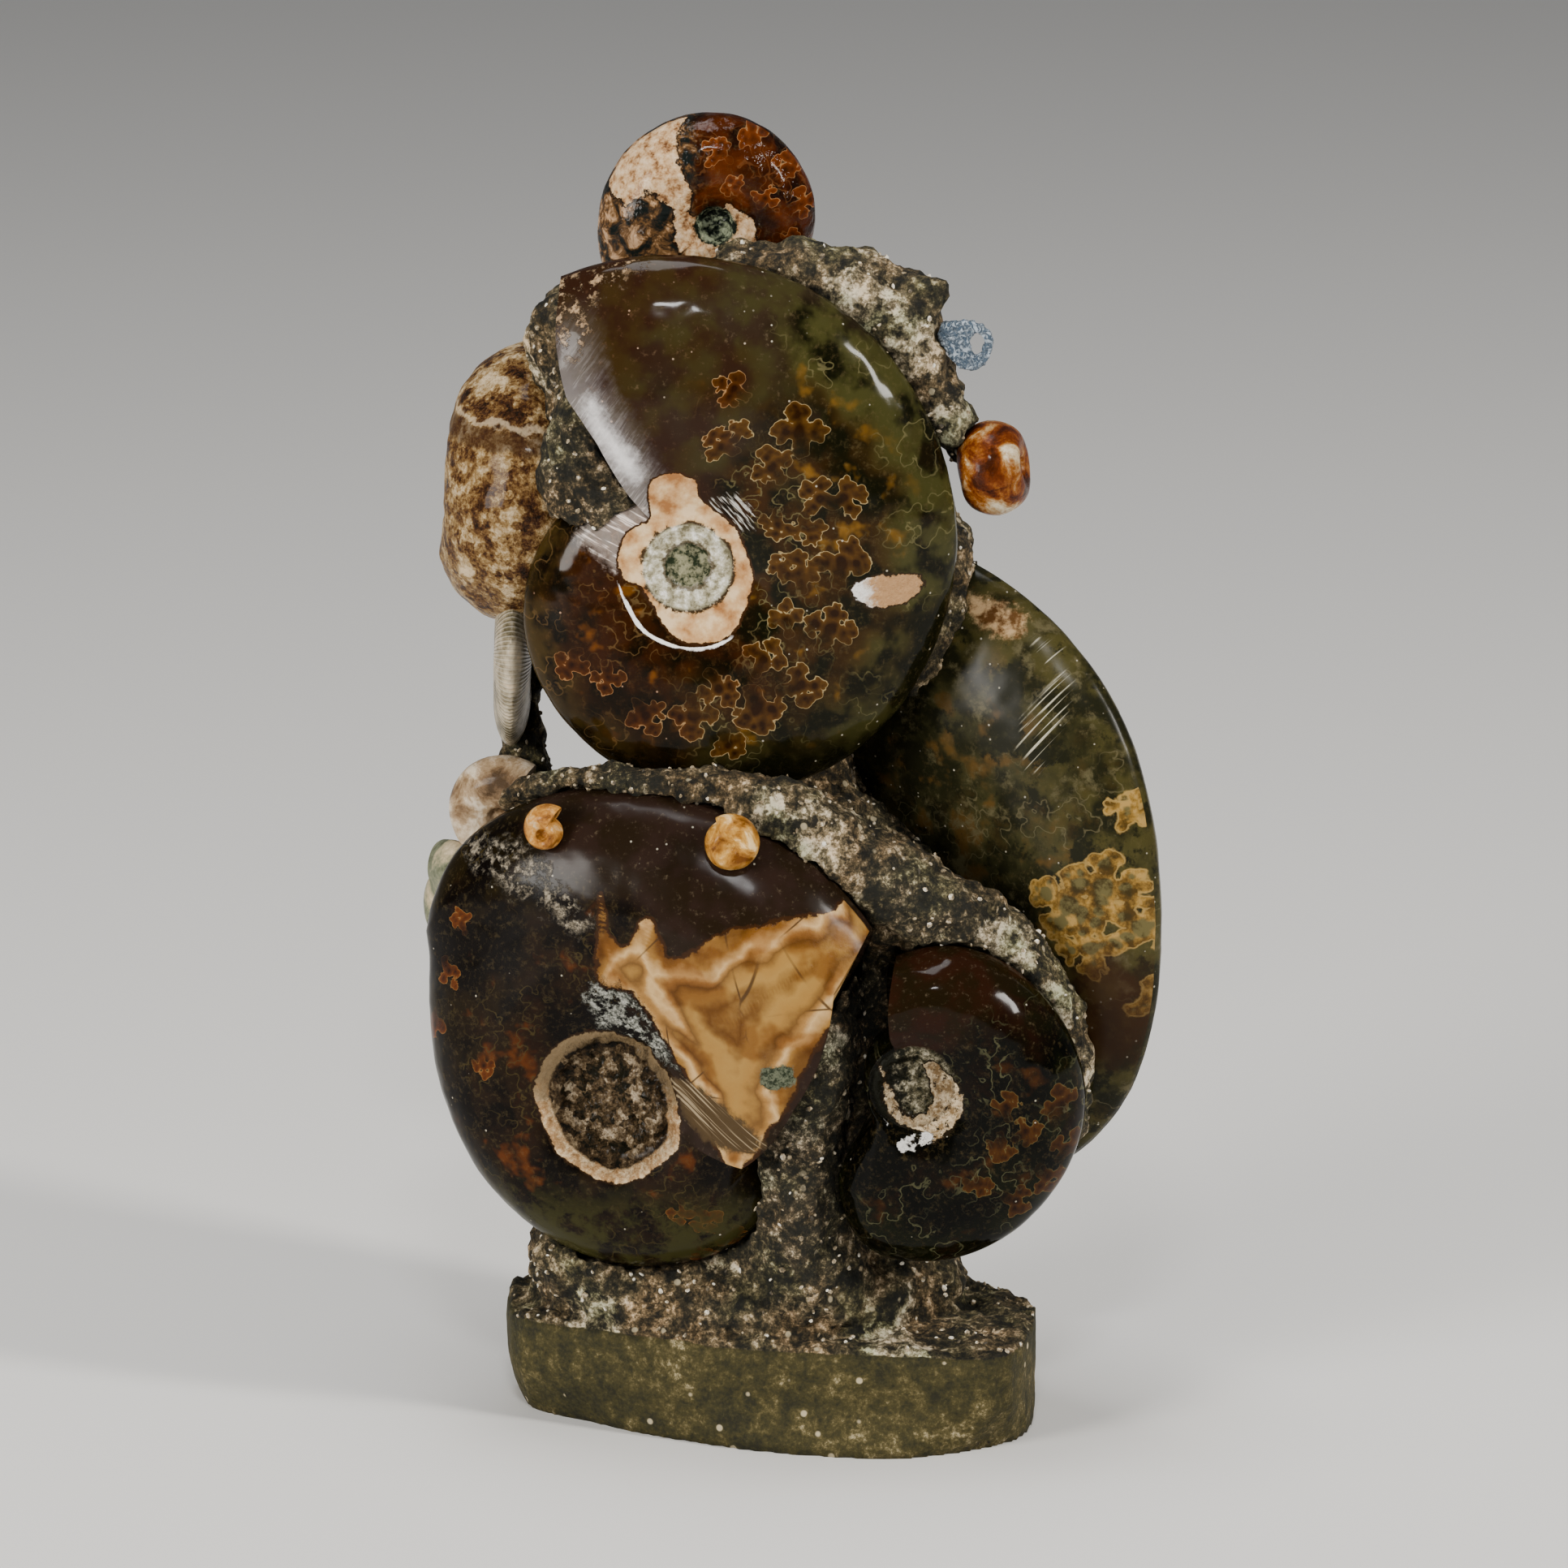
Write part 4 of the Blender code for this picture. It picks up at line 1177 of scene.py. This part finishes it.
def finish_left():
    """Ochre and cream blotches, with a painted shadow band across the upper part and a thin painted
    highlight just above it.
    """
    g = Graph("worn ochre shell")
    spot, gloss = polish(g, 0.18)
    clouds = g.cloud(spot, 4.5, 6.0, 0.72)
    grain = g.cloud(spot, 0.8, 4.0, 0.8)
    mixed = clouds * 0.64 + grain * 0.28 + g.chunks(spot, 2.2) * 0.08
    colour = g.colours(
        mixed, (0.38, (0.010, 0.005, 0.002)), (0.44, (0.050, 0.018, 0.006)), (0.485, (0.13, 0.065, 0.018)),
        (0.53, (0.26, 0.165, 0.065)), (0.62, (0.58, 0.45, 0.28)),
    )
    height = g.upward()
    height = g.uneven(height, g.cloud(spot, 5.0, 4.0, 0.6), 3.0)
    # painted shadow and painted highlight: a dark band, then a thin pale line above it, across the upper
    # part
    colour = g.mix(band_between(g, height, 12.5, 16.5, 0.6) * 0.75, colour, (0.040, 0.016, 0.006))
    colour = g.mix(band_between(g, height, 16.8, 17.6, 0.3) * 0.6, colour, (0.55, 0.42, 0.26))
    matt = g.fade(clouds, 0.42, 0.58)
    return g.finish(
        Base_Color=colour, Roughness=gloss + matt * 0.35, Normal=g.dents(clouds * 3.0 + grain, 0.45)
    )


def finish_narrow():
    g = Graph("ribbed grey green shell")
    spot, gloss = polish(g, 0.2)
    along = g.painted("along")
    ribs = g.math("SINE", along * 130.0)
    clouds = g.cloud(spot, 6.0, 5.0, 0.65)
    colour = g.colours(
        clouds, (0.36, (0.085, 0.070, 0.038)), (0.46, (0.23, 0.19, 0.12)), (0.55, (0.40, 0.34, 0.24)),
        (0.66, (0.56, 0.44, 0.29)),
    )
    colour = g.mix(g.fade(ribs, 0.2, 0.9) * 0.25, colour, (0.62, 0.57, 0.48))
    return g.finish(Base_Color=colour, Roughness=gloss, Normal=g.dents(ribs, 0.10))


def finish_flake():
    g = Graph("thin milky flake")
    spot = g.where()
    threads = g.fade(g.cloud(spot, 1.8, 5.0, 0.75, 2.4), 0.47, 0.56)
    clouds = g.cloud(spot, 2.5, 3.0, 0.6)
    colour = g.mix(threads, g.mix(clouds, (0.04, 0.07, 0.11), (0.14, 0.21, 0.29)), (0.66, 0.76, 0.86))
    g.finish(Transmission_Weight=0.55, IOR=1.3)
    return g.finish(Base_Color=colour, Roughness=0.25, Normal=g.dents(threads, 0.25))


def finish_rock():
    """Grey brown grit with chalky patches; the sawn sides of the base are smoother and olive."""
    g = Graph("rough grey green rock")
    spot = g.where()
    sawn, pale, hollow = g.painted("sawn"), g.painted("pale"), g.painted("hollow")
    broad = g.cloud(spot, 14.0, 4.0, 0.6)
    medium = g.cloud(spot, 3.4, 6.0, 0.72)
    fine = g.cloud(spot, 0.9, 5.0, 0.8)
    mixed = medium * 0.60 + fine * 0.34 + g.chunks(spot, 1.7) * 0.06
    broken = g.colours(
        mixed, (0.42, (0.005, 0.005, 0.002)), (0.47, (0.024, 0.021, 0.010)), (0.51, (0.070, 0.057, 0.030)),
        (0.55, (0.17, 0.135, 0.080)), (0.59, (0.46, 0.39, 0.28)), (0.64, (0.84, 0.79, 0.68)),
    )
    chalky = g.colours(
        mixed, (0.41, (0.012, 0.011, 0.006)), (0.46, (0.085, 0.075, 0.045)), (0.51, (0.30, 0.265, 0.185)),
        (0.57, (0.84, 0.80, 0.69)),
    )
    cut = g.colours(
        medium * 0.35 + (fine * 0.35 + broad * 0.30), (0.42, (0.011, 0.010, 0.002)),
        (0.47, (0.024, 0.021, 0.004)), (0.52, (0.042, 0.034, 0.007)), (0.57, (0.090, 0.070, 0.022)),
        (0.63, (0.36, 0.30, 0.17)),
    )
    colour = g.mix(g.fade(g.uneven(pale, medium, 0.7), 0.50, 0.80), broken, chalky)
    tint = g.colours(
        broad, (0.38, (0.72, 0.76, 0.56)), (0.50, (0.98, 0.90, 0.76)), (0.62, (1.0, 0.82, 0.62))
    )
    colour = g.tinted(colour, tint)
    colour = g.mix(g.fade(g.uneven(sawn, medium, 0.3), 0.45, 0.60), colour, cut)
    colour = g.mix(dots(g, spot, 2.6, 0.09, 0.30, 0.18) * 0.8, colour, (0.52, 0.44, 0.28))
    # painted shade: near black in the recess and in the crevices between the shells
    colour = g.mix(
        hollow * g.math("SUBTRACT", 1.1, g.fade(fine, 0.50, 0.60), clamp=True), colour,
        (0.008, 0.008, 0.004),
    )
    relief = 1.0 - sawn * 0.8
    height = fine + g.cells(spot, 1.1) * -0.8
    return g.finish(
        Base_Color=colour, Roughness=0.80 - g.fade(fine, 0.60, 0.70) * 0.40, Specular_IOR_Level=0.3,
        Normal=g.dents(height * relief, 0.9),
    )


def finish_grains():
    g = Graph("pale grains")
    spot = g.where()
    tone = g.cloud(spot, 2.5, 3.0, 0.7)
    colour = g.colours(
        tone, (0.38, (0.050, 0.040, 0.024)), (0.46, (0.20, 0.15, 0.08)), (0.53, (0.42, 0.34, 0.22)),
        (0.60, (0.74, 0.70, 0.60)),
    )
    return g.finish(Base_Color=colour, Roughness=0.6)


FINISHES = {
    "ammonite_upper_front": finish_upper_front,
    "ammonite_lower_left": finish_lower_left,
    "ammonite_lower_right": finish_lower_right,
    "ammonite_right": finish_right,
    "ammonite_top": finish_top,
    "ammonite_left": finish_left,
    "ammonite_left_narrow": finish_narrow,
    "ammonite_left_shoulder": lambda: mottled(
        "pinkish small shell",
        (
            (0.38, (0.060, 0.035, 0.016)), (0.46, (0.17, 0.105, 0.055)), (0.54, (0.34, 0.24, 0.14)),
            (0.62, (0.62, 0.52, 0.39)),
        ),
        size=8.0, roughness=0.1, grain_share=0.15, gloss_base=0.12,
    ),
    "ammonite_left_low": lambda: mottled(
        "greenish small shell",
        (
            (0.38, (0.05, 0.055, 0.03)), (0.48, (0.15, 0.16, 0.10)), (0.56, (0.36, 0.30, 0.18)),
            (0.64, (0.60, 0.48, 0.33)),
        ),
        size=8.0, roughness=0.1, grain_share=0.15, gloss_base=0.14,
    ),
    "ammonite_far_right": lambda: mottled(
        "amber shell",
        (
            (0.40, (0.030, 0.006, 0.001)), (0.47, (0.10, 0.020, 0.003)), (0.53, (0.21, 0.070, 0.010)),
            (0.58, (0.34, 0.21, 0.09)), (0.65, (0.62, 0.54, 0.38)),
        ),
        size=7.0, roughness=0.1, grain_share=0.15, gloss_base=0.07,
    ),
    "juvenile_round": lambda: mottled(
        "caramel bead",
        (
            (0.36, (0.12, 0.04, 0.006)), (0.47, (0.32, 0.14, 0.022)), (0.56, (0.50, 0.27, 0.06)),
            (0.65, (0.80, 0.56, 0.26)),
        ),
        size=4.0, roughness=0.0, grain_share=0.12, gloss_base=0.04,
    ),
    "juvenile_broken": lambda: mottled(
        "orange broken bead",
        (
            (0.36, (0.09, 0.03, 0.006)), (0.46, (0.28, 0.11, 0.02)), (0.56, (0.50, 0.24, 0.05)),
            (0.66, (0.56, 0.42, 0.24)),
        ),
        size=3.0, roughness=0.1, grain_share=0.25, gloss_base=0.10,
    ),
}


def make_shells():
    for name, shell in SHELLS.items():
        mesh = coil_mesh(shell)
        mesh.materials.append(FINISHES[name]())
        piece = place_in_scene(name + "_polished", mesh)
        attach(piece, "root")
        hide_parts(name)


def closed_copy(node):
    """A copy of a solid's mesh, joined up from its loose triangles."""
    mesh = node.data.copy()
    work = bmesh.new()
    work.from_mesh(mesh)
    bmesh.ops.remove_doubles(work, verts=work.verts, dist=0.00001)
    work.to_mesh(mesh)
    work.free()
    mesh.materials.clear()
    return mesh


def remeshed(name, mesh, size, smooth):
    """The mesh rebuilt on an even grid, as a plain mesh."""
    work = place_in_scene(name, mesh)
    grid = work.modifiers.new("grid", "REMESH")
    grid.mode = "VOXEL"
    grid.voxel_size = size * MM
    soften = work.modifiers.new("soften", "SMOOTH")
    soften.iterations = smooth
    graph = bpy.context.evaluated_depsgraph_get()
    made = bpy.data.meshes.new_from_object(work.evaluated_get(graph))
    bpy.data.objects.remove(work)
    return made


def break_surface(mesh):
    """Swells the rock against the shells and breaks its surface; the sawn sides of the base stay flat."""
    count = len(mesh.vertices)
    spots = np.empty(count * 3, np.float32)
    normals = np.empty(count * 3, np.float32)
    mesh.vertices.foreach_get("co", spots)
    mesh.vertex_normals.foreach_get("vector", normals)
    spots, normals = spots.reshape(-1, 3) / MM, normals.reshape(-1, 3)
    height = spots[:, 2]
    side = np.clip((0.75 - np.abs(normals[:, 2])) / 0.35, 0, 1)
    sawn = np.clip((SLAB_TOP_HEIGHT + 0.6 - height) / 1.5, 0, 1) * np.maximum(side, height < 1.0)
    push = np.empty(count)
    pale = np.empty(count)
    for i, spot in enumerate(spots):
        here = Vector(spot.tolist())
        lumps = LUMP_HEIGHT * noise.fractal(here / LUMP_SIZE, 0.75, 2.0, 4)
        chips = CHIP_DEPTH * (0.42 - noise.voronoi(here / CHIP_SIZE)[0][0])
        push[i] = ROCK_SWELL + (lumps + chips) * (1 - 0.88 * sawn[i])
        pale[i] = noise.fractal(here / 13.0 + Vector((3.0, 7.0, 1.0)), 0.9, 2.0, 2)
    push = np.where(sawn > 0.5, push - ROCK_SWELL, push) * np.clip(height / 2.0, 0, 1)
    spots = spots + normals * push[:, None]
    spots[:, 2] = np.where(height < 0.8, 0.0, spots[:, 2])
    mesh.vertices.foreach_set("co", (spots * MM).astype(np.float32).ravel())
    for x, y, z, reach in PALE_SPOTS:
        away = np.linalg.norm(spots - (x, y, z), axis=1)
        pale = np.maximum(pale, 1.1 * np.clip(1.6 - away / reach, 0, 1))
    # painted shade: how dark the recess and the crevices between the shells are painted
    away = np.linalg.norm((spots - HOLLOW_CENTRE) / HOLLOW_REACH, axis=1)
    hollow = np.clip(1.6 - away, 0, 1)
    for x, y, z, reach in SHADED_CREVICES:
        away = np.linalg.norm(spots - (x, y, z), axis=1)
        hollow = np.maximum(hollow, 0.62 * np.clip(1.8 - 1.3 * away / reach, 0, 1))
    paint(mesh, "hollow", hollow)
    paint(mesh, "sawn", sawn)
    paint(mesh, "pale", pale)


def scatter_grains(rock):
    """Small grains of several sizes stuck over the broken faces, none on the sawn sides."""
    tree = bpy.data.node_groups.new("grains", "GeometryNodeTree")
    tree.interface.new_socket("Geometry", in_out="INPUT", socket_type="NodeSocketGeometry")
    tree.interface.new_socket("Density", in_out="INPUT", socket_type="NodeSocketFloat")
    tree.interface.new_socket("Grain", in_out="INPUT", socket_type="NodeSocketFloat")
    tree.interface.new_socket("Material", in_out="INPUT", socket_type="NodeSocketMaterial")
    tree.interface.new_socket("Geometry", in_out="OUTPUT", socket_type="NodeSocketGeometry")

    def add(kind, inputs=None, **settings):
        node = tree.nodes.new(kind)
        for name, value in settings.items():
            setattr(node, name, value)
        for name, value in (inputs or {}).items():
            if isinstance(value, bpy.types.NodeSocket):
                tree.links.new(value, node.inputs[name])
            else:
                node.inputs[name].default_value = value
        return node

    start, end = add("NodeGroupInput"), add("NodeGroupOutput")
    sawn = add("GeometryNodeInputNamedAttribute", {"Name": "sawn"}, data_type="FLOAT")
    bare = add("FunctionNodeCompare", {0: sawn.outputs["Attribute"], 1: 0.3}, operation="LESS_THAN")
    spread = add(
        "GeometryNodeDistributePointsOnFaces",
        {
            "Mesh": start.outputs["Geometry"], "Selection": bare.outputs[0],
            "Density": start.outputs["Density"], "Seed": 7,
        },
    )
    grain = add("GeometryNodeMeshIcoSphere", {"Radius": start.outputs["Grain"], "Subdivisions": 1})
    turned = add("FunctionNodeRandomValue", {"Max": (6.3, 6.3, 6.3), "Seed": 2}, data_type="FLOAT_VECTOR")
    size = add(
        "FunctionNodeRandomValue", {"Min": (0.3, 0.3, 0.3), "Max": (1.3, 1.0, 1.1), "Seed": 3},
        data_type="FLOAT_VECTOR",
    )
    placed = add(
        "GeometryNodeInstanceOnPoints",
        {
            "Points": spread.outputs["Points"], "Instance": grain.outputs["Mesh"],
            "Rotation": turned.outputs[0],
            "Scale": size.outputs[0],
        },
    )
    real = add("GeometryNodeRealizeInstances", {"Geometry": placed.outputs["Instances"]})
    dressed = add(
        "GeometryNodeSetMaterial",
        {"Geometry": real.outputs["Geometry"], "Material": start.outputs["Material"]}
    )
    both = add("GeometryNodeJoinGeometry")
    tree.links.new(dressed.outputs["Geometry"], both.inputs["Geometry"])
    tree.links.new(start.outputs["Geometry"], both.inputs["Geometry"])
    tree.links.new(both.outputs["Geometry"], end.inputs["Geometry"])
    step = rock.modifiers.new("grains", "NODES")
    step.node_group = tree
    sockets = {item.name: item.identifier for item in tree.interface.items_tree if item.in_out == "INPUT"}
    step[sockets["Density"]] = GRAIN_DENSITY / MM**2
    step[sockets["Grain"]] = GRAIN_SIZE * MM
    step[sockets["Material"]] = finish_grains()
    graph = bpy.context.evaluated_depsgraph_get()
    made = bpy.data.meshes.new_from_object(rock.evaluated_get(graph))
    rock.modifiers.remove(step)
    rock.data = made


def make_rock(node):
    mesh = remeshed("rock grid", closed_copy(node), ROCK_GRID, 4)
    break_surface(mesh)
    mesh.shade_smooth()
    mesh.materials.append(finish_rock())
    piece = place_in_scene("matrix_rock", mesh)
    scatter_grains(piece)
    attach(piece, "root")
    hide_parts("matrix")


def make_flake(node):
    mesh = remeshed("flake grid", closed_copy(node), FLAKE_GRID, 6)
    for point in mesh.vertices:
        ripple = noise.fractal(point.co / (FLAKE_RIPPLE_SIZE * MM), 0.7, 2.0, 3)
        point.co += Vector(point.normal) * ripple * FLAKE_RIPPLE * MM
    mesh.shade_smooth()
    mesh.materials.append(finish_flake())
    piece = place_in_scene("pierced_flake_milky", mesh)
    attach(piece, "root")
    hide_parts("pierced_flake")


def make_camera():
    rise = math.radians(CAMERA_RISE)
    data = bpy.data.cameras.new("camera")
    data.sensor_width = SENSOR
    data.lens = SENSOR * CAMERA_DISTANCE / VIEW_WIDTH
    data.clip_end = CLIP_END
    camera = bpy.data.objects.new("camera", data)
    bpy.context.scene.collection.objects.link(camera)
    back = Vector((0.0, -math.cos(rise), math.sin(rise)))
    camera.location = (Vector(CAMERA_AIM) + back * CAMERA_DISTANCE) * MM
    camera.rotation_euler = (math.radians(90 - CAMERA_RISE), 0.0, 0.0)
    bpy.context.scene.camera = camera


def soft_light(name, spot, size, power, colour):
    data = bpy.data.lights.new(name, "AREA")
    data.shape = "RECTANGLE"
    data.size, data.size_y = size
    data.energy = power
    data.color = colour
    light = bpy.data.objects.new(name, data)
    bpy.context.scene.collection.objects.link(light)
    light.location = Vector(spot)
    light.rotation_euler = (Vector(LIGHTS_AIM) - Vector(spot)).to_track_quat("-Z", "Y").to_euler()


def make_studio():
    floor_mesh = bpy.data.meshes.new("floor")
    corners = [(x * FLOOR_HALF, y * FLOOR_HALF, 0) for x, y in ((-1, -1), (1, -1), (1, 1), (-1, 1))]
    floor_mesh.from_pydata(corners, [], [(0, 1, 2, 3)])
    g = Graph("pale floor")
    floor_mesh.materials.append(g.finish(Base_Color=FLOOR_COLOUR, Roughness=0.7))
    floor = place_in_scene("floor", floor_mesh)
    world = bpy.data.worlds.new("studio")
    world.use_nodes = True
    sky = world.node_tree.nodes["Background"].inputs
    sky["Color"].default_value = SKY_COLOUR
    sky["Strength"].default_value = SKY_STRENGTH
    bpy.context.scene.world = world
    for light in LIGHTS:
        soft_light(*light)


def main():
    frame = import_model()
    make_camera()
    make_studio()
    make_shells()
    make_rock(frame["nodes"]["matrix"])
    make_flake(frame["nodes"]["pierced_flake"])


main()
